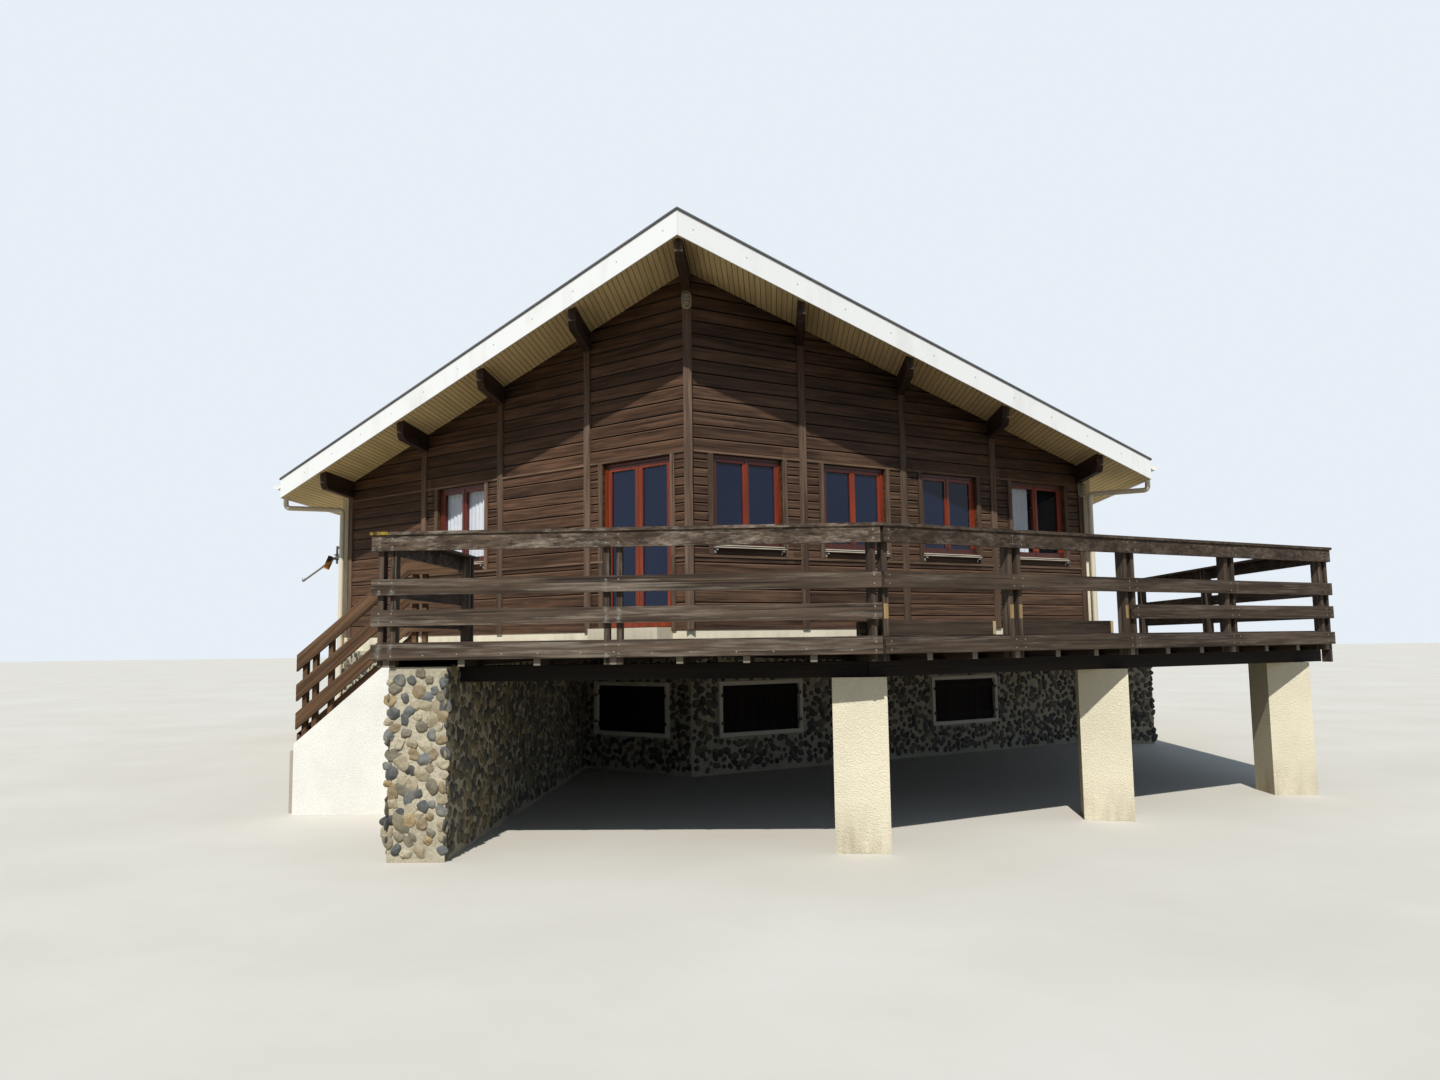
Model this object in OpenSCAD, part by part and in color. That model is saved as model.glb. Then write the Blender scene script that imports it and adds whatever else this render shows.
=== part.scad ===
// Beach house on a high basement: two timber front walls meet in a shallow point under a wide gable
// roof, and a raised deck with board rails stands on pillars and a stone pier in front of them.
// The middle of the front is at X = 0, the viewer stands at -Y, and the ground is Z = 0.

/* [Fit] */
// Gap between two pieces that are seated on each other
seat_gap = 0.3; // [0.2:0.1:0.5]

/* [Plan of the house] */
// Half the width of the timber front, from its middle to a corner
half_w = 6070; // [5600:10:6600]
// How far each front corner stands behind the middle of the front
prow_depth = 4040; // [3400:10:4600]
// Length of each side wall behind the front corner
side_len = 7500; // [6000:50:9000]
// How far the side walls reach past the timber front's corner
side_cover = 170; // [150:5:220]
// Thickness of the rendered side walls
side_wall_t = 200; // [160:5:230]
// Depth of the side wall's toe that closes the corner beside the last post
toe_d = 60; // [40:5:90]
// Thickness of the timber walls
timber_t = 160; // [130:5:200]
// Thickness of the basement walls
basement_t = 300; // [240:10:400]
// How far the pebble face of the basement stands proud of the timber
pebble_proud = 20; // [10:5:40]

/* [Levels above the ground] */
// Top of the floor slab, where the timber walls start
slab_top = 1808; // [1740:2:1900]
// Thickness of the floor slab
slab_t = 220; // [180:5:260]
// How far the slab's painted edge stands behind the timber
slab_recess = 12; // [5:1:20]
// Top of the deck boards
deck_top = 1680; // [1600:5:1700]
// Rail that runs under the windows
band_z = 2743; // [2700:1:2790]
// Line over the windows and the door
head_z = 4084; // [4040:1:4120]
// Underside of the roof boards at the ridge
soffit_ridge = 6431; // [6380:1:6500]
// Thickness of the basement's own floor
basement_floor_t = 100; // [80:5:150]

/* [Roof] */
// Slope of the roof in degrees
roof_pitch = 18.6; // [17.8:0.1:19.2]
// Half the width of the roof, ridge to eave
eave_half = 6950; // [6900:10:7200]
// How far the roof reaches in front of the walls, along the ridge
roof_front = 1264; // [1000:4:1400]
// How far the roof reaches behind the back wall
roof_back = 900; // [600:10:1100]
// Thickness of the soffit boards
lining_t = 18; // [12:1:24]
// Height of the roof over its soffit, measured upright
roof_over = 291; // [240:1:320]
// Thickness of the roof covering
covering_t = 30; // [20:1:40]
// How far the covering reaches past the white boards
covering_lap = 18; // [10:1:30]
// Thickness of the white edge boards
barge_t = 25; // [20:1:30]
// How far the white edge boards hang below the soffit
barge_drop = 15; // [8:1:25]

/* [Posts and purlins] */
// Distance from one front post to the next
bay_w = 1765; // [1740:5:1790]
// Width of a front post
post_w = 110; // [90:2:120]
// How far the front posts stand proud of the boards
post_proud = 25; // [15:1:35]
// Width of a purlin
purlin_w = 100; // [80:2:110]
// Height of a purlin
purlin_h = 240; // [200:5:280]
// Gap from a purlin's end to the white edge board
purlin_short = 110; // [60:5:200]
// Height of the angled cut under a purlin's end
purlin_notch = 90; // [60:5:120]
// How far the thin rails over and under the windows stand out
band_out = 18; // [12:1:24]
// Height of the rail over the windows
head_rail_h = 28; // [20:2:36]
// Height of the rail under the windows
band_rail_h = 30; // [20:2:40]

/* [Windows and door] */
// Width of the short boards between a post and the trim of a window
side_panel_w = 212; // [190:2:230]
// Width of the short boards beside the outermost windows
outer_panel_w = 254; // [230:2:280]
// Width of the short boards beside the windows in the back wall
back_panel_w = 64; // [40:2:100]
// Height of a window, over its frame
window_h = 1184; // [1150:2:1190]
// Width of the door, over its frame
door_w = 1190; // [1150:5:1210]
// Width of a frame's edge
frame_w = 45; // [40:1:60]
// Depth of a frame
frame_d = 70; // [60:1:80]
// How far the frames stand behind the face of the boards
frame_back = 45; // [30:1:60]
// Width of a casement's stile
sash_w = 48; // [40:1:60]
// Thickness of a casement or a door leaf
sash_t = 50; // [44:1:56]
// Thickness of the strip that covers the casements' meeting stiles
cover_strip_t = 12; // [8:1:16]
// Width of the strip that covers the casements' meeting stiles
cover_strip_w = 28; // [20:2:36]
// How far a door leaf's stile is wider than a casement's
leaf_stile_more = 14; // [8:1:20]
// How far the door leaves stand inside the back of their frame
leaf_rebate = 10; // [6:1:14]
// Height of the bottom rail of a door leaf
kick_h = 235; // [180:5:260]
// Thickness of the glass
glass_t = 8; // [4:1:12]
// Running gap around each door leaf
leaf_gap = 6; // [5:0.5:8]
// Height of the door's threshold
threshold_h = 42; // [30:1:50]
// How far the step in front of the door stands out
step_d = 300; // [260:5:340]
// Radius of a door hinge's pin
pin_r = 5; // [4:0.5:6]
// Radius of a door hinge's barrel
barrel_r = 9; // [8:0.5:11]
// Room between a hinge's pin and its bore
pin_play = 0.05; // [0.03:0.01:0.1]
// Height of half a hinge barrel
hinge_h = 45; // [40:1:55]
// Thickness of a hinge plate
hinge_plate_t = 4; // [3:0.5:5]
// Distance from the leaf's foot and top to its outer hinges
hinge_end = 200; // [160:10:260]
// Width of the upright boards beside each window
trim_w = 70; // [60:2:90]
// Thickness of the upright boards beside each window
trim_t = 22; // [20:1:26]
// How far the top of a frame lies under the line over the windows
head_gap = 16; // [14:1:24]
// How far a sill stands out
sill_out = 70; // [50:2:90]
// How far the lip over the sill stands out
lip_out = 44; // [30:2:50]
// Fall of the sill's top
sill_fall = 14; // [8:1:20]
// Height of each of the sill's two edges
sill_edge = 13; // [8:1:16]
// Height of the step between the sill's two edges
sill_step = 10; // [6:1:12]
// Thickness of a hung curtain, over its folds
curtain_t = 40; // [20:2:44]
// Share of the right outer window that its drawn curtain covers
curtain_share = 0.42; // [0.3:0.01:0.6]

/* [Basement windows] */
// Width of a basement window, over its surround
low_window_w = 1275; // [1200:5:1300]
// Height of a basement window, over its surround
low_window_h = 690; // [640:5:720]
// Sills of the basement windows: left, right, outer right
low_window_z = [460, 460, 423];
// Distances of the basement windows from the middle of the front: left, right, outer right
low_window_s = [970, 1014, 4542];
// Width of the surround
surround_w = 50; // [40:2:60]
// How far the surrounds stand proud of the pebbles
surround_out = 35; // [20:1:50]
// Thickness of a basement shutter's boards
shutter_t = 30; // [24:1:36]
// Thickness of the ledges across a basement shutter
ledge_t = 18; // [12:1:24]
// Height of a ledge
ledge_h = 60; // [45:1:75]

/* [Deck] */
// Left side of the deck, from the middle of the house
deck_left = 2082; // [2000:2:2120]
// Corner of the deck, right of the middle of the house
deck_corner = 1896; // [1860:2:1930]
// Front of the deck, in front of the walls' point
deck_front = 5066; // [4900:2:5150]
// Angle by which the deck's right front turns back, in degrees
deck_turn = 33; // [32:0.1:33.6]
// Right side of the deck, from the middle of the house
deck_right = 6887; // [6850:1:6930]
// Thickness of the deck boards
deck_board_t = 28; // [22:1:34]
// Height of a joist
joist_h = 165; // [150:5:190]
// Width of a joist
joist_w = 54; // [48:2:64]
// Height of a main beam
beam_h = 130; // [110:5:160]
// Width of a main beam
beam_w = 120; // [100:5:140]
// Side of a square pillar
pillar_w = 432; // [400:4:448]
// Places of the pillars along the deck's right edge, from its corner
pillar_s = [173, 2921, 5662];
// Distances of the pillars' middles from the deck's right edge
pillar_t = [562, 477, 468];
// Angles by which the pillars are turned to the left, in degrees
pillar_turn = [4, 12, 0];
// Width of the stone pier and of the rear pier
pier_w = 455; // [420:5:480]
// How far the stone pier's left face stands inside the deck's left side
pier_in = 132; // [110:2:150]
// How far the stone pier's front stands behind the deck's front
pier_back = 66; // [45:1:90]
// How far the rear pier stands in front of the walls' line
rear_pier_reach = 984; // [800:2:1100]
// How far the rear pier stands inside the deck's right side
rear_pier_in = 17; // [10:1:30]
// Distance from the deck's left side to the first post pair on the left front
left_pair_in = 113; // [113:1:130]
// Place of the middle post pair on the left front
left_pair_middle = -185; // [-300:5:-100]
// Places of the first three post pairs along the right front, from the corner
right_pair_s = [1422, 2842, 4299];
// Distance from the last post pair on the right front to its end
right_pair_end = 86; // [84:1:120]
// Distance from the front walls' point back to the middle pair of the right return
return_pair_y = 1180; // [1000:5:1300]
// Distance from the end of a return to its last post pair: left, right
return_pair_end = [200, 120];
// Distance from the deck's edge to the middle of the main beam
beam_in = 463; // [440:1:480]
// Distances from the deck's right edge to the beam's middle, over the first and last pillars
beam_t = [440, 320];

/* [Rails] */
// Top of the rail's flat cap
rail_top = 2546; // [2500:2:2600]
// Height of a rail board
board_h = 125; // [115:1:135]
// Thickness of a rail board
board_t = 40; // [34:1:44]
// Underside of the middle board
middle_z = 2048; // [2020:2:2080]
// Underside of the low board
low_z = 1808; // [1790:2:1830]
// Underside of the fascia board
fascia_z = 1542; // [1530:2:1548]
// Thickness of the flat cap
cap_t = 25; // [20:1:32]
// Width of the flat cap
cap_w = 150; // [130:2:170]
// How far the cap stands out past the boards
cap_lap = 14; // [8:1:20]
// Width of one half of a post pair
half_post_w = 46; // [40:2:56]
// Depth of a rail post
half_post_d = 90; // [80:2:100]
// Room between the deck boards and the posts that pass through them
notch_gap = 4; // [2:1:8]
// Parting between the ends of two boards that meet
parting = 1; // [1:0.5:3]
// How far the boards of a front end short of its corner
corner_short = 14; // [12:1:20]
// How far a cap reaches past its last boards
cap_end = 20; // [10:1:30]
// Where the left return ends, in front of the walls' point
return_left_end = 2600; // [2560:5:2660]
// Where the right return ends, behind the walls' point
return_right_end = 3760; // [3600:5:3900]
// Ends of the two torn-off boards, along the right edge from the corner
loose_spans = [[-100, 1335], [1500, 2780]];
// Room between the posts and the torn-off boards behind them
loose_back = 57; // [30:1:80]
// Height of a torn-off board
loose_h = 113; // [100:1:125]

/* [Stair] */
// Left end of the stair's side walls
stair_left = 3756; // [3700:1:3800]
// Near face of the stair
stair_front = 2750; // [2700:5:2800]
// Width of the stair over its side walls
stair_w = 1000; // [900:10:1100]
// Thickness of a stair side wall
stair_wall_t = 130; // [110:5:150]
// Level at the foot of the stair
stair_foot = 440; // [400:5:480]
// Depth of a step
tread_d = 210; // [200:1:220]
// Number of risers
risers = 7; // [6:1:8]
// Vertical heights of the three sloping boards over the side wall
stair_rail_z = [115, 395, 690];
// Height of the sloping boards on top of the side wall
string_h = 95; // [80:5:120]
// How far the stair's first pair of posts stands from the wall's end
stair_pair_in = 76; // [60:1:110]
// How far the stair's single post stands from the wall's end
stair_single_in = 336; // [300:1:380]
// Distance from the head of the stair to the deck's side
landing_d = 470; // [420:5:520]
// How far the sloping boards end short of the side wall's end
stair_board_in = 30; // [20:1:50]
// Distance from the head of the stair to its last post pair
stair_head_in = 20; // [10:1:40]

/* [Gutters and fittings] */
// Radius of a gutter
gutter_r = 65; // [55:1:75]
// Thickness of the gutter's and the downpipe's metal
gutter_t = 4; // [3:0.5:6]
// Radius of a downpipe
pipe_r = 40; // [35:1:44]
// Drop from a gutter's outlet to the downpipe's level arm
pipe_drop = 270; // [200:5:300]
// Depth of a gutter's top under the top of the white boards
gutter_drop = 95; // [80:1:120]
// How far a gutter ends short of the roof's white boards
gutter_short = 20; // [10:1:40]
// Distance from a gutter's front end to its outlet
outlet_in = 280; // [200:5:360]
// How far an outlet lies towards the wall from the gutter's middle
outlet_side = 25; // [15:1:30]
// Room between a downpipe and the wall that it follows
pipe_gap = 5; // [3:1:10]
// Room round a downpipe where it passes the deck
pipe_room = 10; // [6:1:15]
// Distance from the purlin's underside to the middle of the lamp on the middle post
ridge_lamp_drop = 149; // [120:1:180]
// Distance from the purlin's underside to the middle of the lamp on the corner post
corner_lamp_drop = 126; // [120:1:160]
// Width of a lamp
lamp_w = 128; // [120:1:140]
// Height of a lamp
lamp_h = 225; // [200:1:240]
// How far a lamp stands out
lamp_d = 85; // [60:1:100]
// Depth of a lamp's base
lamp_base_d = 24; // [16:1:32]
// How much narrower a lamp's glass is than its base
lamp_step = 26; // [16:2:40]
// Height of the bracket on the left side wall
bracket_z = 3180; // [3100:5:3260]
// Distance from the front corner to the bracket
bracket_back = 250; // [200:5:300]
// Length of the bracket's arm
bracket_arm = 142; // [120:2:160]
// Length of the bracket's pole
bracket_pole = 700; // [600:10:760]

/* [Hidden] */
$fn = 48;

// Derived sizes of the plan
front_angle = atan2(prow_depth, half_w);
front_len = norm([half_w, prow_depth]);
wall_out = half_w + side_cover;
basement_out = wall_out + pebble_proud;
basement_in = basement_out - basement_t;
back_y = prow_depth + side_len;
frame_top = head_z - head_gap;
ridge_parting = 1;
slope = tan(roof_pitch);
slab_under = slab_top - slab_t;
reach = 20000;

// Depth in plan of a line parallel to the right front wall, inset from its outer face
function front_y(x, inset = 0) = x * tan(front_angle) + inset / cos(front_angle);
// Height of the soffit over a point
function soffit_z(x) = soffit_ridge - abs(x) * slope;
// Place along a front wall of the line X = x, at a depth inside the wall
function front_s(x, inset) = (x + inset * sin(front_angle)) / cos(front_angle);

// Roof and whole extents
eave_front_y = front_y(eave_half) - roof_front;
roof_back_y = back_y + roof_back;
plan_front = -deck_front - cap_lap;
plan_mid = (plan_front + roof_back_y + covering_lap) / 2;

// Bays of each front wall, from the middle out: clear span between two posts
centre_post_y = -1.6 * post_proud;
corner_post = front_len - post_w;
post_side = post_w / 2 + seat_gap;
bay_ends = [[front_s(post_side, 0), bay_w - post_side], [bay_w + post_side, 2 * bay_w - post_side],
    [2 * bay_w + post_side, 3 * bay_w - post_side], [3 * bay_w + post_side, corner_post - seat_gap]];
function bay_mid(n) = (bay_ends[n][0] + bay_ends[n][1]) / 2;
function bay_window_w(n) =
    bay_ends[n][1] - bay_ends[n][0] - 2 * trim_w - 2 * (n == 3 ? outer_panel_w : side_panel_w);
purlin_x = [for (n = [0:3]) n * bay_w * cos(front_angle), corner_post * cos(front_angle) + purlin_w / 2];
window_z = frame_top - window_h;

// Hinges of the door leaves
door_s = bay_mid(0);
leaf_in = frame_back + frame_d - leaf_rebate;
hinge_t = frame_back + frame_d + barrel_r + 1;
leaf_w = (door_w - 2 * frame_w - 3 * leaf_gap) / 2;
leaf_z = slab_top + threshold_h + leaf_gap;
leaf_h = frame_top - frame_w - leaf_gap - leaf_z;
hinge_x = door_w / 2 - frame_w - leaf_gap / 2;
hinge_levels = [leaf_z + hinge_end, leaf_z + leaf_h / 2, leaf_z + leaf_h - hinge_end - hinge_h];

// Deck lines
deck_under = deck_top - deck_board_t;
joist_under = deck_under - joist_h;
beam_under = joist_under - beam_h;
edge_len = (deck_right - deck_corner) / cos(deck_turn);
deck_end_y = -deck_front + (deck_right - deck_corner) * tan(deck_turn);
deck_back_y = front_y(deck_right, -pebble_proud);
left_pairs = [-deck_left + left_pair_in, left_pair_middle];
left_steps = [3, 4];
right_pairs = concat(right_pair_s, [edge_len - right_pair_end]);
meeting_turn = atan2(deck_corner, deck_front);
pair_half_w = joist_w / 2 + half_post_w;
corner_pair_back = (board_t + seat_gap) / cos(meeting_turn) + pair_half_w * tan(meeting_turn);
right_steps = 3;
rail_levels = [low_z, middle_z, rail_top - cap_t - board_h];
pier_left = -deck_left + pier_in;
pier_front = -deck_front + pier_back;

// Stair lines
rise = (deck_top - stair_foot) / risers;
stair_slope = rise / tread_d;
landing_x = -deck_left - board_t - landing_d;
stair_angle = atan(stair_slope);
function stair_z(x) = min(deck_top,
    stair_foot + rise + (x - (landing_x - (risers - 1) * tread_d)) * stair_slope);

dark_timber = "#3b2b22";
weathered = "#5a5048";
cream = "#e9e2cf";
pebble = "#8c8577";
white_paint = "#f2f1ec";
mahogany = "#6d2f1c";

// The whole is set with the middle of its plan at the origin
module placed() { translate([0, -plan_mid, 0]) children(); }

// Frame of a front wall: X runs along the wall from its middle, Y goes into it
module on_front(side) {
    mirror([side < 0 ? 1 : 0, 0, 0]) rotate([0, 0, front_angle]) children();
}

// Frame of the deck's right edge: X along the edge from the corner, Y into the deck
module on_edge() { translate([deck_corner, -deck_front, 0]) rotate([0, 0, deck_turn]) children(); }

// Upright prism over a plan outline
module prism(points, low, high) { translate([0, 0, low]) linear_extrude(high - low) polygon(points); }

// Bar along Y with an outline given as X and Z
module bar_y(points, from, to) {
    translate([0, to, 0]) rotate([90, 0, 0]) linear_extrude(to - from) polygon(points);
}

module both_sides() {
    children();
    mirror([1, 0, 0]) children();
}

// Everything under the soffit
module under_roof() {
    bar_y([[-eave_half, 0], [eave_half, 0], [eave_half, soffit_z(eave_half)], [0, soffit_ridge],
        [-eave_half, soffit_z(eave_half)]], -reach, reach);
}

// Basement

// One basement front wall, from the middle of the house to the outside of the side wall
module basement_front(side, holes) {
    inset = basement_t - pebble_proud;
    difference() {
        on_front(side) prism([[front_s(seat_gap, -pebble_proud), -pebble_proud],
            [front_s(basement_out, -pebble_proud), -pebble_proud],
            [front_s(basement_out, inset), inset], [front_s(seat_gap, inset), inset]], 0, slab_under);
        on_front(side) for (n = holes) translate([low_window_s[n] - low_window_w / 2, -reach / 2, low_window_z[n]])
            cube([low_window_w, reach, low_window_h]);
    }
}

module basement_front_left() { color(pebble) placed() basement_front(-1, [0]); }

module basement_front_right() {
    color(pebble) placed() basement_front(1, [1, 2]);
}

// Side walls of the basement, mitred against the front walls
module basement_side_walls() {
    inset = basement_t - pebble_proud + seat_gap;
    color(pebble) placed() both_sides() prism([
        [basement_out, front_y(basement_out, inset)], [basement_out, back_y],
        [basement_in, back_y], [basement_in, front_y(basement_in, inset)]], 0, slab_under);
}

module basement_back_wall() {
    color(pebble) placed() translate([-basement_in, back_y - basement_t, 0])
        cube([2 * basement_in, basement_t, slab_under]);
}

module basement_floor() {
    inset = basement_t - pebble_proud + seat_gap;
    corner_y = front_y(basement_in, inset);
    color(cream) placed() prism([[0, front_y(0, inset)], [basement_in, corner_y],
        [basement_in, back_y - basement_t], [-basement_in, back_y - basement_t],
        [-basement_in, corner_y]], 0, basement_floor_t);
}

module each_low_window() {
    for (n = [0:2]) on_front(n == 0 ? -1 : 1) translate([low_window_s[n], 0, low_window_z[n]]) children();
}

// Rendered surrounds, a little proud of the pebbles
module basement_window_surrounds() {
    face = pebble_proud + surround_out;
    color(cream) placed() each_low_window() difference() {
        translate([-low_window_w / 2, -face, 0]) cube([low_window_w, face + shutter_t, low_window_h]);
        translate([-low_window_w / 2 + surround_w, -reach / 2, surround_w])
            cube([low_window_w - 2 * surround_w, reach, low_window_h - 2 * surround_w]);
    }
}

// Closed board shutters with two ledges each
module basement_shutters() {
    width = low_window_w - 2 * surround_w;
    height = low_window_h - 2 * surround_w;
    color(dark_timber) placed() each_low_window() translate([-width / 2, 0, surround_w]) union() {
        cube([width, shutter_t, height]);
        for (z = [ledge_h, height - 2 * ledge_h]) translate([0, -ledge_t, z]) cube([width, ledge_t, ledge_h]);
    }
}

// Fin of pebble-faced stone that carries the deck's left side
module stone_pier() {
    color(pebble) placed() prism([[pier_left, pier_front], [pier_left + pier_w, pier_front],
        [pier_left + pier_w, front_y(-pier_left - pier_w, -pebble_proud - seat_gap)],
        [pier_left, front_y(-pier_left, -pebble_proud - seat_gap)]], 0, beam_under + beam_h);
}

// Short pier at the right end of the basement, under the deck's far corner
module rear_pier() {
    outer = deck_right - rear_pier_in;
    inner = outer - pier_w;
    near = front_y(deck_right) - rear_pier_reach;
    inset = basement_t - pebble_proud;
    color(pebble) placed() difference() {
        prism([[inner, near], [outer, near], [outer, front_y(outer, inset)], [inner, front_y(inner, inset)]],
            0, joist_under);
        prism([[0, front_y(0, -pebble_proud - seat_gap)],
            [basement_out + seat_gap, front_y(basement_out + seat_gap, -pebble_proud - seat_gap)],
            [basement_out + seat_gap, reach], [0, reach]], -1, reach);
        translate([pipe_x, pipe_y, -1]) cylinder(r = pipe_r + pipe_room, h = reach);
    }
}

// Middles of the pillars, which carry the main beam along the right edge
function edge_point(s, t) = [deck_corner + s * cos(deck_turn) - t * sin(deck_turn),
    -deck_front + s * sin(deck_turn) + t * cos(deck_turn)];
pillars = [for (n = [0:2]) edge_point(pillar_s[n], pillar_t[n])];

module deck_pillars() {
    color(cream) placed() for (n = [0:2])
        translate([pillars[n][0], pillars[n][1], 0]) rotate([0, 0, -pillar_turn[n]])
            translate([-pillar_w / 2, -pillar_w / 2, 0]) cube([pillar_w, pillar_w, beam_under - seat_gap]);
}

// Floor and upper walls

// Slab whose painted edge shows as the plinth under the timber
module floor_slab() {
    corner_y = front_y(wall_out, slab_recess);
    color(cream) placed() prism([[0, front_y(0, slab_recess)], [wall_out, corner_y], [wall_out, back_y],
        [-wall_out, back_y], [-wall_out, corner_y]], slab_under, slab_top);
}

// Rendered side walls, with a toe that closes the corner beside the last post
module side_walls() {
    inner = wall_out - side_wall_t;
    near = front_y(wall_out, slab_recess);
    color(cream) placed() difference() {
        intersection() {
            both_sides() prism([[wall_out, near], [wall_out, back_y], [inner, back_y], [inner, near + toe_d],
                [post_end_x(near + toe_d), near + toe_d], [post_end_x(near), near]], slab_top, reach);
            under_roof();
        }
        purlin_slots();
    }
}

// Place of the corner post's end face across the house, seat gap included, at a depth in plan
function post_end_x(y) = half_w + seat_gap / cos(front_angle) - (y - prow_depth) * tan(front_angle);

// One bay of timber wall between two posts, up to the soffit
module bay_panel(n) {
    start = bay_ends[n][0];
    inner_start = n == 0 ? front_s(post_side, timber_t) : start;
    prism([[start, 0], [bay_ends[n][1], 0], [bay_ends[n][1], timber_t], [inner_start, timber_t]],
        slab_top + seat_gap, soffit_ridge);
}

// Trims a front bay to the roof and lets the purlins through it
module bay_trim(side) {
    difference() {
        intersection() {
            on_front(side) children();
            under_roof();
        }
        purlin_slots();
    }
}

// Hole for a window, with a seat gap all round its frame
module window_hole(width) {
    translate([-width / 2 - seat_gap, -reach / 2, window_z - seat_gap])
        cube([width + 2 * seat_gap, reach, window_h + 2 * seat_gap]);
}

module window_bay(side, n) {
    bay_trim(side) difference() {
        bay_panel(n);
        translate([bay_mid(n), 0, 0]) window_hole(bay_window_w(n));
    }
}

module left_window_bay() { color(dark_timber) placed() window_bay(-1, 2); }

module right_window_bays_inner() { color(dark_timber) placed() for (n = [0, 1]) window_bay(1, n); }

module right_window_bays_outer() { color(dark_timber) placed() for (n = [2, 3]) window_bay(1, n); }

module plain_bays() { color(dark_timber) placed() for (n = [1, 3]) bay_trim(-1) bay_panel(n); }

// Door bay: the wall beside the doorway, then the wall over it
module door_bay_sides() {
    color(dark_timber) placed() bay_trim(-1) difference() {
        bay_panel(0);
        translate([door_s - door_w / 2, -reach / 2, 0]) cube([door_w, reach, reach]);
        translate([0, -reach / 2, frame_top]) cube([reach, reach, reach]);
    }
}

module door_bay_head() {
    color(dark_timber) placed() bay_trim(-1) difference() {
        bay_panel(0);
        translate([0, -reach / 2, 0]) cube([reach, reach, frame_top]);
    }
}

// Back gable, one flat timber wall with two windows
back_window_x = (purlin_x[1] + purlin_x[2]) / 2;
back_window_w = purlin_x[2] - purlin_x[1] - post_w - 2 * (back_panel_w + trim_w);

module back_wall() {
    color(dark_timber) placed() difference() {
        intersection() {
            translate([side_wall_t - wall_out, back_y - timber_t, slab_top])
                cube([2 * (wall_out - side_wall_t), timber_t, soffit_ridge]);
            under_roof();
        }
        purlin_slots();
        for (side = [-1, 1]) translate([side * back_window_x, back_y, 0]) window_hole(back_window_w);
    }
}

// Posts

// A front post at a place along the wall, up to the purlin that it carries
module wall_post(s, top) {
    translate([s - post_w / 2, -post_proud, slab_top]) cube([post_w, timber_t + post_proud, top - slab_top]);
}

module front_posts() {
    color(dark_timber) placed() {
        prism([[-post_w / 2, centre_post_y], [post_w / 2, centre_post_y],
            [post_w / 2, front_y(post_w / 2, timber_t)], [-post_w / 2, front_y(post_w / 2, timber_t)]],
            slab_top, purlin_under(0));
        for (side = [-1, 1]) {
            for (n = [1:3]) on_front(side) wall_post(n * bay_w, purlin_under(n));
            on_front(side) wall_post(corner_post + post_w / 2, purlin_under(4));
        }
        for (x = [for (n = [1:7]) purlin_places[n]]) translate([x - post_w / 2, back_y, slab_top])
            cube([post_w, post_proud, purlin_at(x) - slab_top]);
    }
}

// Purlins, parallel to the ridge, with a sloping top under the soffit
function purlin_at(x) = soffit_z(abs(x) + purlin_w / 2) - purlin_h;
function purlin_under(n) = purlin_at(purlin_x[n]);

module purlin(x) {
    near = x - purlin_w / 2;
    far = x + purlin_w / 2;
    front = front_y(abs(x)) - roof_front + barge_t + purlin_short;
    back = roof_back_y - barge_t - purlin_short;
    low = purlin_at(x);
    shape = x == 0
        ? [[near, low], [far, low], [far, soffit_z(far)], [0, soffit_ridge], [near, soffit_z(near)]]
        : [[near, low], [far, low], [far, soffit_z(far)], [near, soffit_z(near)]];
    difference() {
        bar_y(shape, front, back);
        for (end = [0, 1]) translate([x, end * (front + back), low]) mirror([0, end, 0])
            translate([0, front, 0]) rotate([45, 0, 0])
                translate([-purlin_w, -purlin_notch / sqrt(2), -purlin_notch / sqrt(2)])
                    cube([2 * purlin_w, sqrt(2) * purlin_notch, sqrt(2) * purlin_notch]);
    }
}

// Every purlin's place, from the ridge to both sides
purlin_places = [-purlin_x[4], -purlin_x[3], -purlin_x[2], -purlin_x[1], 0,
    purlin_x[1], purlin_x[2], purlin_x[3], purlin_x[4]];

module purlins() { color(dark_timber) placed() for (x = purlin_places) purlin(x); }

// Room for the purlins in the walls that they pass
module purlin_slots() {
    for (x = purlin_places) translate([x - purlin_w / 2, -reach / 2, purlin_at(x)])
        cube([purlin_w, 2 * reach, reach]);
}

// Rails, trims and sills on the front walls

// Thin rails under the windows and over them, cut between the posts
head_rail_z = head_z - head_rail_h / 2;
band_rail_z = band_z - band_rail_h / 2;

module band_rails() {
    color(dark_timber) placed() for (side = [-1, 1]) for (n = [0:3]) on_front(side) {
        start = bay_ends[n][0];
        span = bay_ends[n][1] - start;
        beside_door = door_s - door_w / 2 - start;
        translate([start, -band_out, head_rail_z]) cube([span, band_out, head_rail_h]);
        if (side < 0 && n == 0) for (from = [start, door_s + door_w / 2])
            translate([from, -band_out, band_rail_z]) cube([beside_door, band_out, band_rail_h]);
        else translate([start, -band_out, band_rail_z]) cube([span, band_out, band_rail_h]);
    }
}

// Every window of the front: side and bay
front_windows = [[-1, 2], [1, 0], [1, 1], [1, 2], [1, 3]];

// Place of each window: middle of its width, outer face of the wall, foot of its frame.
// The children read the window's width from $wide.
module each_window() {
    for (w = front_windows) let($wide = bay_window_w(w[1]))
        on_front(w[0]) translate([bay_mid(w[1]), 0, window_z]) children();
    for (side = [-1, 1]) let($wide = back_window_w)
        translate([side * back_window_x, back_y, window_z]) rotate([0, 0, 180]) children();
}

module trim_pair(width, low, high) {
    for (side = [-1, 1]) translate([side * (width / 2 + trim_w / 2) - trim_w / 2, -trim_t, low])
        cube([trim_w, trim_t, high - low]);
}

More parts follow.
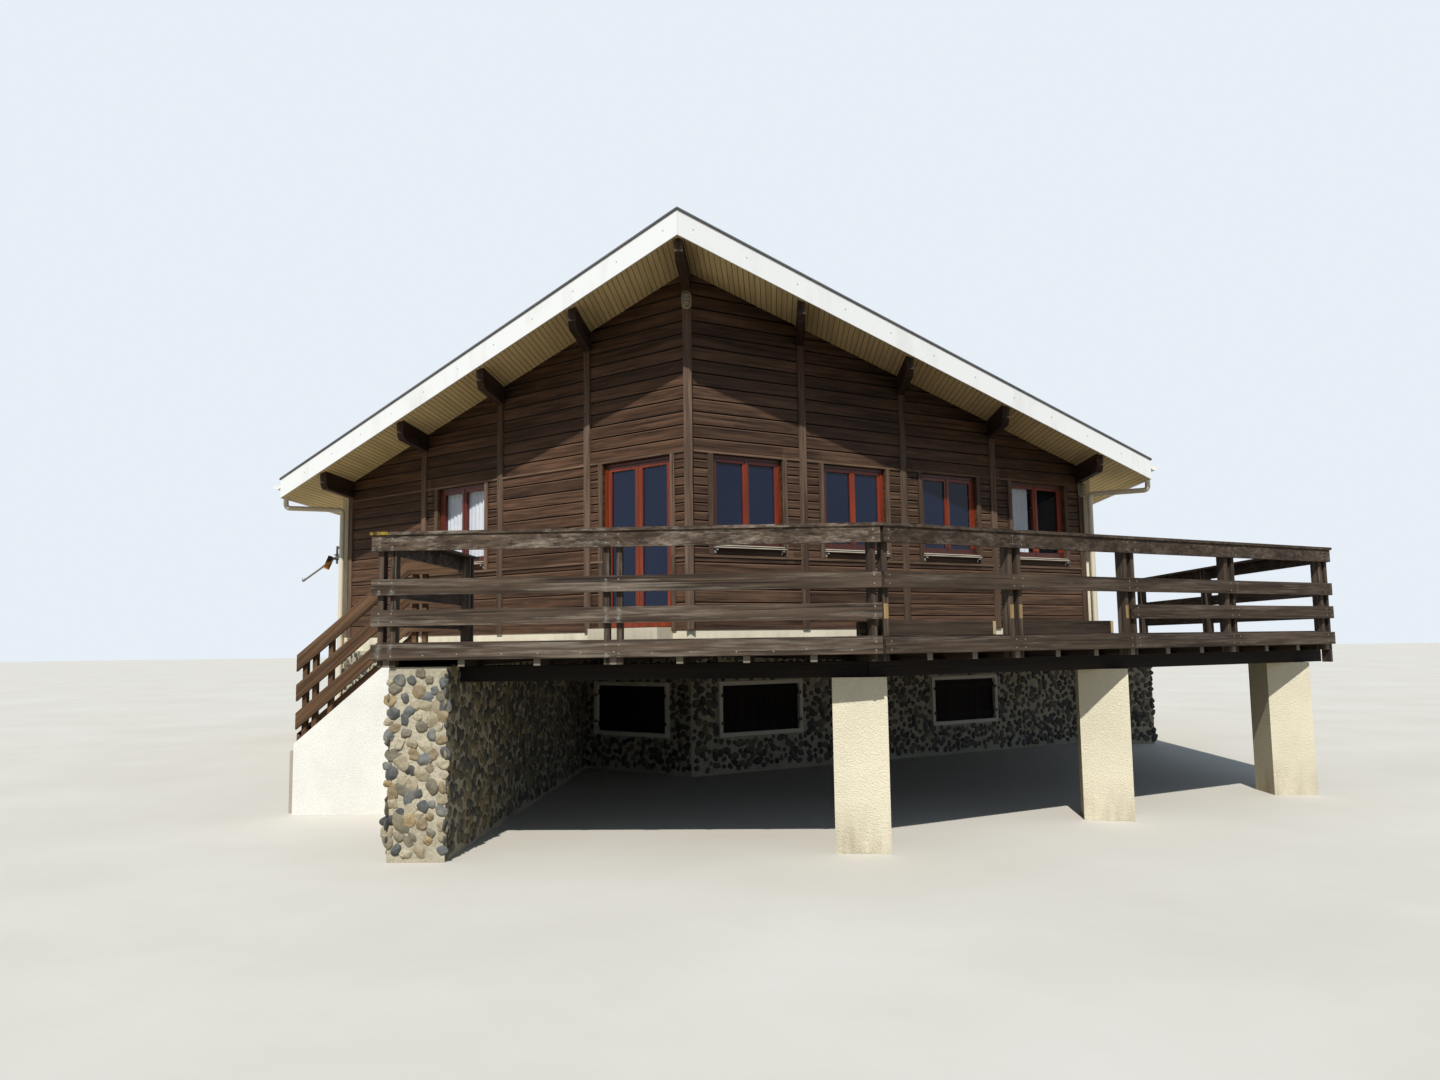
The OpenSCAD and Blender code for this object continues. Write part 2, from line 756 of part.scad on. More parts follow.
module window_trims() {
    over_band = band_rail_z + band_rail_h;
    color(dark_timber) placed() {
        each_window() trim_pair($wide, over_band - window_z, head_rail_z - window_z);
        on_front(-1) translate([door_s, 0, 0]) {
            trim_pair(door_w, slab_top, band_rail_z);
            trim_pair(door_w, over_band, head_rail_z);
        }
    }
}

// Sill in front of the frame's foot: a sloping lip over a wider board
module window_sills() {
    lip_z = -sill_edge;
    board_z = lip_z - sill_step;
    color("#b7ab98") placed() each_window() translate([$wide / 2, 0, 0]) rotate([0, -90, 0])
        linear_extrude($wide) polygon([[0, frame_back], [sill_fall, frame_back], [0, -lip_out],
            [lip_z, -lip_out], [lip_z, -lip_out / 2], [board_z, -lip_out / 2], [board_z, -sill_out],
            [board_z - sill_edge, -sill_out], [board_z - sill_edge, 0], [0, 0]]);
}

// Windows

// Fixed frame with a pair of closed casements
module casement_pair() {
    inner_w = $wide - 2 * frame_w;
    inner_h = window_h - 2 * frame_w;
    pane_w = inner_w / 2 - 2 * sash_w;
    difference() {
        union() {
            difference() {
                translate([-$wide / 2, frame_back, 0]) cube([$wide, frame_d, window_h]);
                translate([-inner_w / 2, 0, frame_w]) cube([inner_w, reach, inner_h]);
            }
            translate([-inner_w / 2, frame_back + cover_strip_t, frame_w]) cube([inner_w, sash_t, inner_h]);
            translate([-cover_strip_w / 2, frame_back, frame_w]) cube([cover_strip_w, cover_strip_t, inner_h]);
        }
        for (side = [-1, 1]) translate([side * (pane_w / 2 + sash_w) - pane_w / 2, 0, frame_w + sash_w])
            cube([pane_w, reach, inner_h - 2 * sash_w]);
    }
}

module window_frames() { color(mahogany) placed() each_window() casement_pair(); }

module window_panes() {
    color("#41505f") placed() each_window() casement_glass();
}

module casement_glass() {
    pane_w = $wide / 2 - frame_w - 2 * sash_w;
    pane_h = window_h - 2 * frame_w - 2 * sash_w;
    glass_in = frame_back + cover_strip_t + (sash_t - glass_t) / 2;
    for (side = [-1, 1]) translate([side * (pane_w / 2 + sash_w) - pane_w / 2, glass_in, frame_w + sash_w])
        cube([pane_w, glass_t, pane_h]);
}

// Curtains hung inside two of the windows
module curtains() {
    behind = frame_back + frame_d + seat_gap;
    hung = [[-1, 2, 1], [1, 3, curtain_share]];
    color("#dfe3ea") placed() for (c = hung) on_front(c[0])
        translate([bay_mid(c[1]) - bay_window_w(c[1]) / 2 + frame_w, behind, window_z + frame_w])
            cube([(bay_window_w(c[1]) - 2 * frame_w) * c[2], curtain_t, window_h - 1.5 * frame_w]);
}

// Door

module at_door() { placed() on_front(-1) translate([door_s, 0, 0]) children(); }

// Frame with threshold and the fixed halves of the hinges
module door_frame() {
    inner_w = door_w - 2 * frame_w;
    plate_w = frame_w - barrel_r;
    color(mahogany) at_door() {
        difference() {
            translate([-door_w / 2, frame_back, slab_top + seat_gap])
                cube([door_w, frame_d, frame_top - slab_top - seat_gap]);
            translate([-inner_w / 2, -reach / 2, slab_top + threshold_h])
                cube([inner_w, reach, frame_top - frame_w - slab_top - threshold_h]);
        }
        for (side = [-1, 1]) for (z = hinge_levels) translate([side * hinge_x, hinge_t, z]) {
            cylinder(r = barrel_r, h = hinge_h);
            cylinder(r = pin_r, h = 2 * hinge_h);
            translate([side > 0 ? 0 : -plate_w, -hinge_t + frame_back + frame_d, 0])
                cube([plate_w, hinge_plate_t, hinge_h]);
        }
    }
}

// A leaf with a glazed opening and the moving halves of its hinges
module door_leaf(side) {
    hang_w = 26;
    foot_w = hinge_plate_t;
    edge = leaf_gap / 2;
    difference() {
        translate([side > 0 ? edge : -edge - leaf_w, leaf_in - sash_t, leaf_z]) cube([leaf_w, sash_t, leaf_h]);
        leaf_hole(side);
    }
    for (z = hinge_levels) translate([side * hinge_x, hinge_t, z + hinge_h + 1]) difference() {
        union() {
            cylinder(r = barrel_r, h = hinge_h);
            translate([side > 0 ? -hang_w - edge : edge, -hinge_t + leaf_in, 0])
                cube([hang_w, hinge_plate_t, hinge_h]);
            translate([side > 0 ? -foot_w - edge : edge, -hinge_t + leaf_in, 0])
                cube([foot_w, hinge_t - leaf_in, hinge_h]);
        }
        translate([0, 0, -1]) cylinder(r = pin_r + pin_play, h = hinge_h + 2);
    }
}

// Opening for the glass of a leaf
module leaf_hole(side) {
    edge = leaf_gap / 2;
    stile = sash_w + leaf_stile_more;
    translate([side > 0 ? edge + stile : -edge - leaf_w + stile, 0, leaf_z + kick_h])
        cube([leaf_w - 2 * stile, reach, leaf_h - kick_h - stile]);
}

module leaf_pane(side) {
    intersection() {
        leaf_hole(side);
        translate([-reach / 2, leaf_in - (sash_t + glass_t) / 2, 0]) cube([reach, glass_t, reach]);
    }
}

// The wall is mirrored, so the leaf on the viewer's left has the positive side
module left_door_leaf() { color(mahogany) at_door() door_leaf(1); }
module right_door_leaf() { color(mahogany) at_door() door_leaf(-1); }
module left_door_pane() { color("#41505f") at_door() leaf_pane(1); }
module right_door_pane() { color("#41505f") at_door() leaf_pane(-1); }

// Concrete step in front of the door, on the deck
module door_step() {
    step_top = slab_top + threshold_h - leaf_gap;
    foot = deck_top + seat_gap;
    behind = frame_back - seat_gap;
    slab_side = slab_recess - seat_gap;
    color("#cfc6ad") at_door() translate([door_w / 2, 0, 0]) rotate([0, -90, 0]) linear_extrude(door_w)
        polygon([[foot, -step_d], [step_top, -step_d], [step_top, behind], [slab_top + seat_gap, behind],
            [slab_top + seat_gap, slab_side], [foot, slab_side]]);
}

// Roof

// A sloping layer of the right half of the roof, between two heights over the soffit
module roof_layer(low, high, inset, from = 0) {
    outer = eave_half - inset;
    cut = inset / cos(front_angle);
    intersection() {
        prism([[from, front_y(from) - roof_front + cut], [outer, front_y(outer) - roof_front + cut],
            [outer, roof_back_y - inset], [from, roof_back_y - inset]], 0, reach);
        bar_y([[from, soffit_z(from) + low], [outer, soffit_z(outer) + low],
            [outer, soffit_z(outer) + high], [from, soffit_z(from) + high]], -reach, reach);
    }
}

module roof_left() { color("#8d8a80") placed() mirror([1, 0, 0]) roof_layer(lining_t, roof_over, barge_t); }
module roof_right() { color("#8d8a80") placed() roof_layer(lining_t, roof_over, barge_t); }
module roof_lining() {
    color("#b9ab86") placed() both_sides() roof_layer(seat_gap, lining_t - seat_gap, barge_t, ridge_parting);
}

module roof_covering() {
    color("#55565a") placed() both_sides()
        roof_layer(roof_over + seat_gap, roof_over + covering_t, -covering_lap, ridge_parting);
}

// White boards along the front, the back and the eaves, mitred at the ridge
module roof_edge_boards() {
    cut = (barge_t - seat_gap) / cos(front_angle);
    color(white_paint) placed() both_sides() {
        difference() {
            roof_layer(-barge_drop, roof_over, 0, ridge_parting);
            roof_core(cut);
        }
    }
}

// Space inside the edge boards
module roof_core(cut) {
    outer = eave_half - barge_t + seat_gap;
    prism([[0, front_y(0) - roof_front + cut], [outer, front_y(outer) - roof_front + cut],
        [outer, roof_back_y - barge_t + seat_gap], [0, roof_back_y - barge_t + seat_gap]], 0, reach);
}

// Half-round gutters outside the eave boards
gutter_x = eave_half + gutter_r + seat_gap;
gutter_z = soffit_z(eave_half) + roof_over - gutter_drop;

module half_tube(r, from, to) {
    translate([gutter_x, to, gutter_z]) rotate([90, 0, 0]) difference() {
        cylinder(r = r, h = to - from);
        translate([-r - 1, 0, -1]) cube([2 * r + 2, r + 1, to - from + 2]);
    }
}

module gutters() {
    front = eave_front_y + gutter_short;
    back = roof_back_y - gutter_short;
    color(white_paint) placed() both_sides() {
        difference() {
            half_tube(gutter_r, front, back);
            half_tube(gutter_r - gutter_t, front + gutter_t, back - gutter_t);
        }
    }
}

// Downpipes: drop from the gutter, run in to the wall and go down its corner
pipe_x = wall_out - pipe_r - pipe_gap;
pipe_y = front_y(pipe_x) - (pebble_proud + pipe_r + pipe_gap) / cos(front_angle);
drop_x = gutter_x - outlet_side;
drop_y = eave_front_y + gutter_short + outlet_in;
outlet_z = gutter_z - gutter_r;
arm_z = outlet_z - pipe_drop;

module elbow(radius) {
    rotate_extrude(angle = 90) translate([radius, 0]) circle(r = pipe_r);
}

module downpipes() {
    bend = 1.6 * pipe_r;
    arm = drop_x - pipe_x;
    run = norm([arm, pipe_y - drop_y]);
    swing = atan2(pipe_y - drop_y, -arm);
    color("#b49f83") placed() both_sides() {
        translate([drop_x, drop_y, 0]) rotate([0, 0, swing]) {
            translate([0, 0, arm_z + bend]) cylinder(r = pipe_r, h = outlet_z - arm_z - bend);
            translate([bend, 0, arm_z + bend]) rotate([90, 0, 0]) rotate([0, 0, 180]) elbow(bend);
            translate([bend, 0, arm_z]) rotate([0, 90, 0]) cylinder(r = pipe_r, h = run - 2 * bend);
            translate([run - bend, 0, arm_z - bend]) rotate([90, 0, 0]) elbow(bend);
            translate([run, 0, 0]) cylinder(r = pipe_r, h = arm_z - bend);
        }
    }
}

// Deck

// Plans of the two fields of the deck, up to a line along the front walls
board_in = board_t + seat_gap;
edge_in = board_in / cos(deck_turn);
deck_mitre = [deck_corner - board_in * tan(deck_turn / 2), -deck_front + board_in];
function zone_left(inset) = [[-deck_left + board_in, -deck_front + board_in],
    deck_mitre, [0, front_y(0, inset)], [-deck_left + board_in, front_y(deck_left - board_in, inset)]];
function zone_right(inset) = [deck_mitre,
    [deck_right - board_in, deck_end_y + edge_in - board_in * tan(deck_turn)],
    [deck_right - board_in, front_y(deck_right - board_in, inset)], [0, front_y(0, inset)]];

// Frame of the line where the two fields of boards meet: Y runs from the deck's corner to the walls' point
module on_meeting_line() { translate([deck_corner, -deck_front, 0]) rotate([0, 0, meeting_turn]) children(); }

// Joist under that line, from between the corner posts to the wall
module meeting_joist(low, high, width) {
    length = norm([deck_corner, deck_front]) - corner_pair_back - joist_w;
    on_meeting_line() translate([-width / 2, corner_pair_back, low]) cube([width, length, high - low]);
}

// Places of the joists: between each two post pairs the span is shared evenly
left_places = concat(left_pairs, [deck_corner - corner_pair_back * sin(meeting_turn)]);
left_joist_x = [for (n = [0:1]) for (k = [0:left_steps[n] - 1])
    left_places[n] + (left_places[n + 1] - left_places[n]) * k / left_steps[n]];
right_joist_gap = (right_pairs[1] - right_pairs[0]) / right_steps;
right_more = [-2, -1, 1, 2, 3, 4, 5, 6];
right_joist_s = concat([for (n = [0:2]) for (k = [0:right_steps - 1])
    right_pairs[n] + (right_pairs[n + 1] - right_pairs[n]) * k / right_steps],
    [right_pairs[3]], [for (n = right_more) right_pairs[n < 0 ? 0 : 3] + n * right_joist_gap]);

// Joists of one field, kept off the meeting joist, the posts and the downpipe
module joist_field(zone) {
    intersection() {
        difference() {
            children();
            meeting_joist(joist_under - 1, deck_under + 1, joist_w + 2 * parting);
            side_post_pairs(parting);
            pipe_way();
        }
        prism(zone, joist_under, deck_under - seat_gap);
    }
}

// Room for the right downpipe where it passes the deck
module pipe_way() { translate([pipe_x, pipe_y, 0]) cylinder(r = pipe_r + pipe_room, h = reach); }

module deck_joists() {
    color(weathered) placed() {
        joist_field(zone_left(-pebble_proud - seat_gap)) for (x = left_joist_x)
            translate([x - joist_w / 2, -reach / 2, joist_under]) cube([joist_w, reach, joist_h]);
        joist_field(zone_right(-pebble_proud - seat_gap)) on_edge() for (s = right_joist_s)
            translate([s - joist_w / 2, 0, joist_under]) cube([joist_w, reach, joist_h]);
        meeting_joist(joist_under, deck_under - seat_gap, joist_w - 2 * seat_gap);
    }
}

// Main beams on the pier and the pillars
module deck_beams() {
    beam_y = -deck_front + beam_in;
    beam_short = 20;
    corner = edge_point(pillar_s[0], beam_t[0]);
    last = edge_point(pillar_s[2], beam_t[1]);
    turn = atan2(last[1] - corner[1], last[0] - corner[0]);
    length = (deck_right - corner[0]) / cos(turn) - beam_w / 2;
    left_end = -deck_left + beam_short;
    color(weathered) placed() {
        difference() {
            translate([left_end, beam_y - beam_w / 2, beam_under])
                cube([corner[0] - parting - left_end, beam_w, beam_h]);
            stone_pier_space();
        }
        difference() {
            translate([corner[0], corner[1], beam_under]) rotate([0, 0, turn])
                translate([-beam_w, -beam_w / 2, 0]) cube([length + beam_w, beam_w, beam_h]);
            translate([corner[0] - reach, corner[1] - reach / 2, beam_under - 1])
                cube([reach, reach, beam_h + 2]);
        }
    }
}

module stone_pier_space() {
    translate([pier_left, pier_front - 1, 0]) cube([pier_w, reach, beam_under + beam_h + 1]);
}

// Both halves of a rail post, with the joist between them
module post_pair(extra = 0) {
    for (side = [-1, 1])
        translate([side * (joist_w + half_post_w) / 2 - half_post_w / 2 - extra, board_t, joist_under])
            cube([half_post_w + 2 * extra, half_post_d + extra, rail_top - cap_t - joist_under]);
}

// Pair at the deck's corner, which clamps the joist under the meeting line.
// Its room in the boards is open in front.
module corner_post_pair(extra) {
    front = extra > 0 ? 0 : corner_pair_back;
    on_meeting_line() for (side = [-1, 1])
        translate([side * (joist_w + half_post_w) / 2 - half_post_w / 2 - extra, front, joist_under])
            cube([half_post_w + 2 * extra, corner_pair_back + half_post_d + extra - front,
                rail_top - cap_t - joist_under]);
}

// Post pairs along the left front, at the corner, along the right front and both sides
module all_post_pairs(extra = 0) {
    for (x = left_pairs) translate([x, -deck_front, 0]) post_pair(extra);
    corner_post_pair(extra);
    on_edge() for (s = right_pairs) translate([s, 0, 0]) post_pair(extra);
    side_post_pairs(extra);
}

module side_post_pairs(extra) {
    translate([deck_right, 0, 0]) rotate([0, 0, 90])
        for (y = [return_pair_y, return_right_end - return_pair_end[1]]) translate([y, 0, 0]) post_pair(extra);
    translate([-deck_left, 0, 0]) rotate([0, 0, -90])
        translate([return_left_end + return_pair_end[0], 0, 0]) post_pair(extra);
}

// The outer half of the last pair reaches down past the main beam's end
module rail_posts() {
    color(weathered) placed() {
        all_post_pairs();
        on_edge() translate([right_pairs[3] + joist_w / 2, board_t, beam_under])
            cube([half_post_w, half_post_d, joist_under - beam_under]);
    }
}

module deck_boards() {
    color(weathered) placed() difference() {
        union() {
            for (zone = [zone_left(slab_recess - seat_gap), zone_right(slab_recess - seat_gap)])
                prism(zone, deck_under, deck_top);
        }
        all_post_pairs(notch_gap);
        pipe_way();
    }
}

// One board of a rail run, in the frame of its edge
module run_board(from, to, low) { translate([from, 0, low]) cube([to - from, board_t, board_h]); }

// Runs of the rails: front left, front right and the two returns
module left_run(low) { translate([0, -deck_front, 0]) run_board(-deck_left, deck_corner - corner_short, low); }

// The boards of the right front meet on its second pair of posts
module right_run(low, whole = true) {
    on_edge() {
        if (whole) run_board(corner_short, right_pairs[1] - parting, low);
        run_board(right_pairs[1] + parting, edge_len - board_t / 4, low);
    }
}

module left_return(low) {
    translate([-deck_left, 0, 0]) rotate([0, 0, -90])
        run_board(return_left_end, deck_front - board_t - parting, low);
}

module right_return(low) {
    translate([deck_right, 0, 0]) rotate([0, 0, 90])
        run_board(deck_end_y + board_t / cos(deck_turn) + parting, return_right_end, low);
}

// Flat cap of a run, which lies on the top board and the posts
module cap(from, to) {
    translate([from, -cap_lap, rail_top - cap_t]) cube([to - from, cap_w, cap_t]);
}

// Outlines that part the caps at the deck's corners
module caps() {
    inner = cap_w - cap_lap;
    half_turn = tan(deck_turn / 2);
    translate([0, -deck_front, rail_top - cap_t]) linear_extrude(cap_t)
        polygon([[-deck_left - cap_lap, -cap_lap], [deck_corner + cap_lap * half_turn, -cap_lap],
            [deck_corner - inner * half_turn, inner], [-deck_left - cap_lap, inner]]);
    on_edge() translate([0, 0, rail_top - cap_t]) linear_extrude(cap_t)
        polygon([[-cap_lap * half_turn + parting, -cap_lap], [edge_len + cap_lap * tan(45 - deck_turn / 2), -cap_lap],
            [edge_len - inner * tan(45 - deck_turn / 2), inner], [inner * half_turn + parting, inner]]);
    translate([-deck_left, 0, 0]) rotate([0, 0, -90]) cap(return_left_end - cap_end, deck_front - inner - parting);
    translate([deck_right, 0, rail_top - cap_t]) rotate([0, 0, 90]) linear_extrude(cap_t)
        polygon([[deck_end_y - cap_lap * tan(45 - deck_turn / 2) + parting, -cap_lap],
            [return_right_end + cap_end, -cap_lap], [return_right_end + cap_end, inner],
            [deck_end_y + inner * tan(45 - deck_turn / 2) + parting, inner]]);
}

// The low board is torn off from the deck's corner to the second pair of posts
module rails() {
    color(weathered) placed() {
        for (low = rail_levels) {
            left_run(low);
            left_return(low);
            right_return(low);
            right_run(low, low != low_z);
        }
        caps();
    }
}

module deck_fascias() {
    color(weathered) placed() {
        left_run(fascia_z);
        right_run(fascia_z);
        right_return(fascia_z);
        translate([-deck_left, 0, 0]) rotate([0, 0, -90]) {
            run_board(stair_front, deck_front - board_t - parting, fascia_z);
            run_board(seat_gap - front_y(deck_left - board_t, -pebble_proud), stair_front - stair_w, fascia_z);
        }
    }
}

// The torn-off boards, on edge behind the posts
module loose_boards() {
    behind = board_t + half_post_d + loose_back;
    color(weathered) placed() on_edge() for (span = loose_spans)
        translate([span[0], behind, deck_top]) cube([span[1] - span[0], board_t, loose_h]);
}

// Stair

module stair_walls() {
    deck_side = -deck_left + board_t;
    shape = [[-stair_left, 0], [pier_left, 0], [pier_left, joist_under], [deck_side, joist_under],
        [deck_side, deck_top], [landing_x, deck_top], [-stair_left, stair_z(-stair_left)]];
    color(cream) placed() for (y = [-stair_front, -stair_front + stair_w - stair_wall_t])
        bar_y(shape, y, y + stair_wall_t);
}

// Steps between the side walls
module stair_steps() {
    near = -stair_front + stair_wall_t;
    width = stair_w - 2 * stair_wall_t;
    color("#bdb6a6") placed() union() {
        for (n = [1:risers - 1]) translate([landing_x - (risers - n) * tread_d, near, 0])
            cube([tread_d, width, stair_foot + n * rise]);
        translate([landing_x, near, 0]) cube([-deck_left + board_t - landing_x, width, deck_top]);
    }
}

// A board that follows the stair, at a height over the side wall, then runs level to the deck
module sloped_board(over, y) {
    start = -stair_left + stair_board_in;
    end = -deck_left - parting;
    top = over + board_h / cos(stair_angle);
    bar_y([[start, stair_z(start) + over], [landing_x, deck_top + over], [end, deck_top + over],
        [end, deck_top + over + board_h], [landing_x - board_h * tan(stair_angle / 2), deck_top + over + board_h],
        [start, stair_z(start) + top]], y, y + board_t);
}

// Post on the side wall, cut to the wall's slope at its foot
module stair_post(x) {
    far = x + half_post_w;
    top = stair_z(x) + stair_rail_z[2] + board_h;
    bar_y([[x, stair_z(x) + seat_gap], [far, stair_z(far) + seat_gap], [far, top], [x, top]],
        -stair_front, -stair_front + stair_wall_t / 2);
}

// Sloping rails on the near side, with their posts and the string board on the wall
module stair_rails() {
    pair_step = half_post_w + joist_w;
    first = -stair_left + stair_pair_in;
    head = landing_x + stair_head_in;
    post_x = [first, first + pair_step, -stair_left + stair_single_in, head, head + pair_step];
    color(weathered) placed() {
        for (z = stair_rail_z) sloped_board(z, -stair_front - board_t);
        for (x = post_x) stair_post(x);
        string_board();
    }
}

module string_board() {
    x0 = -stair_left;
    bar_y([[x0, stair_z(x0) + seat_gap], [landing_x, deck_top + seat_gap], [landing_x, deck_top + string_h],
        [x0, stair_z(x0) + string_h]], -stair_front + stair_wall_t / 2, -stair_front + stair_wall_t);
}

// Fittings

// Oval of a lamp, upright on a wall, with its back on the wall's face
module oval(width, height, from, deep) {
    rise_z = (height - width) / 2;
    for (z = [-rise_z, rise_z]) translate([0, -from, z]) rotate([90, 0, 0]) cylinder(r = width / 2, h = deep);
    translate([-width / 2, -from - deep, -rise_z]) cube([width, deep, 2 * rise_z]);
}

module bulkhead_lamp() {
    oval(lamp_w, lamp_h, 0, lamp_base_d);
    oval(lamp_w - lamp_step, lamp_h - lamp_step, lamp_base_d, lamp_d - lamp_base_d);
}

module lamps() {
    color("#c9c1ae") placed() {
        translate([0, centre_post_y, purlin_under(0) - ridge_lamp_drop]) bulkhead_lamp();
        on_front(1) translate([front_len - post_w / 2, -post_proud, purlin_under(4) - corner_lamp_drop])
            bulkhead_lamp();
    }
}

// Bracket with a short pole on the left side wall
module wall_bracket() {
    plate = [8, 120, 180];
    bar = 36;
    pole_r = 17;
    color("#4a4640") placed() translate([-wall_out, prow_depth + bracket_back, bracket_z]) {
        translate([-plate[0], -plate[1] / 2, -plate[2] / 2]) cube(plate);
        translate([-plate[0] - bracket_arm, -bar / 2, -bar / 2]) cube([bracket_arm, bar, bar]);
        translate([-plate[0] - bracket_arm, 0, 0]) rotate([0, -125, 0]) cylinder(r = pole_r, h = bracket_pole);
    }
}

basement_front_left();
basement_front_right();
basement_side_walls();
basement_back_wall();
basement_floor();
basement_window_surrounds();
basement_shutters();
stone_pier();
rear_pier();
deck_pillars();
floor_slab();
side_walls();
back_wall();
door_bay_sides();
door_bay_head();
plain_bays();
left_window_bay();
right_window_bays_inner();
right_window_bays_outer();
front_posts();
band_rails();
window_trims();
window_sills();
window_frames();
window_panes();
curtains();
door_frame();
door_step();
left_door_leaf();
right_door_leaf();
left_door_pane();
right_door_pane();
purlins();
roof_left();
roof_right();
roof_lining();
roof_covering();
roof_edge_boards();
gutters();
downpipes();
deck_beams();
deck_joists();
deck_boards();
deck_fascias();
rail_posts();
rails();
loose_boards();
stair_walls();
stair_steps();
stair_rails();
lamps();
wall_bracket();
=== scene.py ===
"""Looks of the beach house: boards, stones, render and fittings around the fixed frame."""

import math
import random

import bmesh
import bpy
from mathutils import Matrix, Vector


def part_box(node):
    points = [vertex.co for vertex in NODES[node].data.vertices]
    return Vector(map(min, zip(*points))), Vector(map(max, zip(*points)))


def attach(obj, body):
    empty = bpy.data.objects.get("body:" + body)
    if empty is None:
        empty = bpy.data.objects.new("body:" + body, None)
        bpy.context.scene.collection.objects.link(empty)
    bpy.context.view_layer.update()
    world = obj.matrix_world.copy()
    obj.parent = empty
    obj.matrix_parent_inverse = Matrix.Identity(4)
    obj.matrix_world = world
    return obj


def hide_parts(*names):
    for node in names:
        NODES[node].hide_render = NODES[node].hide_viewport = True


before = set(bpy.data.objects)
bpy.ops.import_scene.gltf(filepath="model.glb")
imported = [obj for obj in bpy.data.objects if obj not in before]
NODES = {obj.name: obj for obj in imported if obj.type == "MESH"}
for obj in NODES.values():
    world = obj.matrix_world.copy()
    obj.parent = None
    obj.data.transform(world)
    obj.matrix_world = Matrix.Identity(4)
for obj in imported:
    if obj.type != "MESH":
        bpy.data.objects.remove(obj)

bl_info = {
    "name": "Beach house",
    "version": (1, 0, 0),
    "blender": (4, 5, 0),
    "location": "View3D > Sidebar > Beach house",
    "description": "Builds the looks of a timber beach house on a pebble-faced basement",
    "category": "Object",
}

HOUSE, LEFT_LEAF, RIGHT_LEAF = "house", "left_leaf", "right_leaf"
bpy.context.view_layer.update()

# Sizes repeated from the part's source, in metres. Plan depths count from the walls' point.
PLAN_MID = 3.689
HALF_W, PROW_DEPTH = 6.070, 4.040
FRONT_ANGLE = math.atan2(PROW_DEPTH, HALF_W)
FRONT_LEN = math.hypot(HALF_W, PROW_DEPTH)
WALL_OUT, PEBBLE_PROUD, BASEMENT_OUT = 6.240, 0.020, 6.260
BACK_Y = 11.540
SLAB_TOP, SLAB_UNDER, DECK_TOP = 1.808, 1.588, 1.680
BAND_Z, HEAD_Z, FRAME_TOP = 2.743, 4.084, 4.068
WINDOW_H = 1.184
WINDOW_Z = FRAME_TOP - WINDOW_H
SOFFIT_RIDGE, SLOPE = 6.431, math.tan(math.radians(18.6))
EAVE_HALF, ROOF_OVER, ROOF_FRONT, ROOF_BACK_Y = 6.950, 0.291, 1.264, 12.440
BARGE_T = 0.025
BAY_W, POST_W, POST_PROUD, SEAT = 1.765, 0.110, 0.025, 0.0003
CORNER_POST = FRONT_LEN - POST_W
TRIM_W, SIDE_PANEL, OUTER_PANEL = 0.070, 0.212, 0.254
POST_SIDE = POST_W / 2 + SEAT
BAYS = [(POST_SIDE / math.cos(FRONT_ANGLE), BAY_W - POST_SIDE), (BAY_W + POST_SIDE, 2 * BAY_W - POST_SIDE),
        (2 * BAY_W + POST_SIDE, 3 * BAY_W - POST_SIDE), (3 * BAY_W + POST_SIDE, CORNER_POST - SEAT)]
DOOR_W = 1.190
DECK_LEFT, DECK_CORNER, DECK_FRONT, DECK_RIGHT = 2.082, 1.896, 5.066, 6.887
DECK_TURN = math.radians(33)
EDGE_LEN = (DECK_RIGHT - DECK_CORNER) / math.cos(DECK_TURN)
RAIL_TOP, BOARD_H, BOARD_T, PLANK_T = 2.546, 0.125, 0.040, 0.028
# Basement windows: side, place along the front, foot
LOW_WINDOWS = [(-1, 0.970, 0.460), (1, 1.014, 0.460), (1, 4.542, 0.423)]
LOW_W, LOW_H, SURROUND_W = 1.275, 0.690, 0.050
# Rail posts: places on the left front and along the right edge, half the spacing of a pair's halves
LEFT_PAIRS, RIGHT_PAIRS = (-DECK_LEFT + 0.113, -0.185), (1.422, 2.842, 4.299, EDGE_LEN - 0.086)
CORNER_HALVES, PAIR_HALF, HALF_W_POST = (1.828, 0.062), 0.050, 0.046
RAIL_FEET = (1.542, 1.808, 2.048, 2.396)
# Stones start above the foot of a wall and end under its top; the piers end lower
STONES_FOOT, STONES_TOP, PIER_STONES_TOP = 0.065, SLAB_UNDER - 0.03, 1.45
# The stair's slope starts where the landing ends
LANDING_X, STAIR_SLOPE = -DECK_LEFT - BOARD_T - 0.470, (DECK_TOP - 0.440) / 7 / 0.210
# Where the torn-off boards on the deck end, along the right edge
LOOSE_ENDS = (1.335, 2.780)


def bay_mid(n):
    """Middle of bay n along a front wall."""
    return sum(BAYS[n]) / 2


def window_w(n):
    """Width of the window in bay n."""
    return BAYS[n][1] - BAYS[n][0] - 2 * TRIM_W - 2 * (OUTER_PANEL if n == 3 else SIDE_PANEL)


def house(x, y, z):
    """A point of the house, whose plan depths count from the walls' point, in the frame's metres."""
    return Vector((x, y - PLAN_MID, z))


def on_front(side, s, t, z):
    """Point at s along a front wall from its middle and t into it."""
    x = s * math.cos(FRONT_ANGLE) - t * math.sin(FRONT_ANGLE)
    return house(side * x, s * math.sin(FRONT_ANGLE) + t * math.cos(FRONT_ANGLE), z)


def on_edge(s, t, z):
    """Point at s along the deck's right edge from its corner and t into the deck."""
    return house(DECK_CORNER + s * math.cos(DECK_TURN) - t * math.sin(DECK_TURN),
                 -DECK_FRONT + s * math.sin(DECK_TURN) + t * math.cos(DECK_TURN), z)


def front_y(x, inset=0.0):
    """Depth of the front walls at x, set back by an inset."""
    return x * math.tan(FRONT_ANGLE) + inset / math.cos(FRONT_ANGLE)


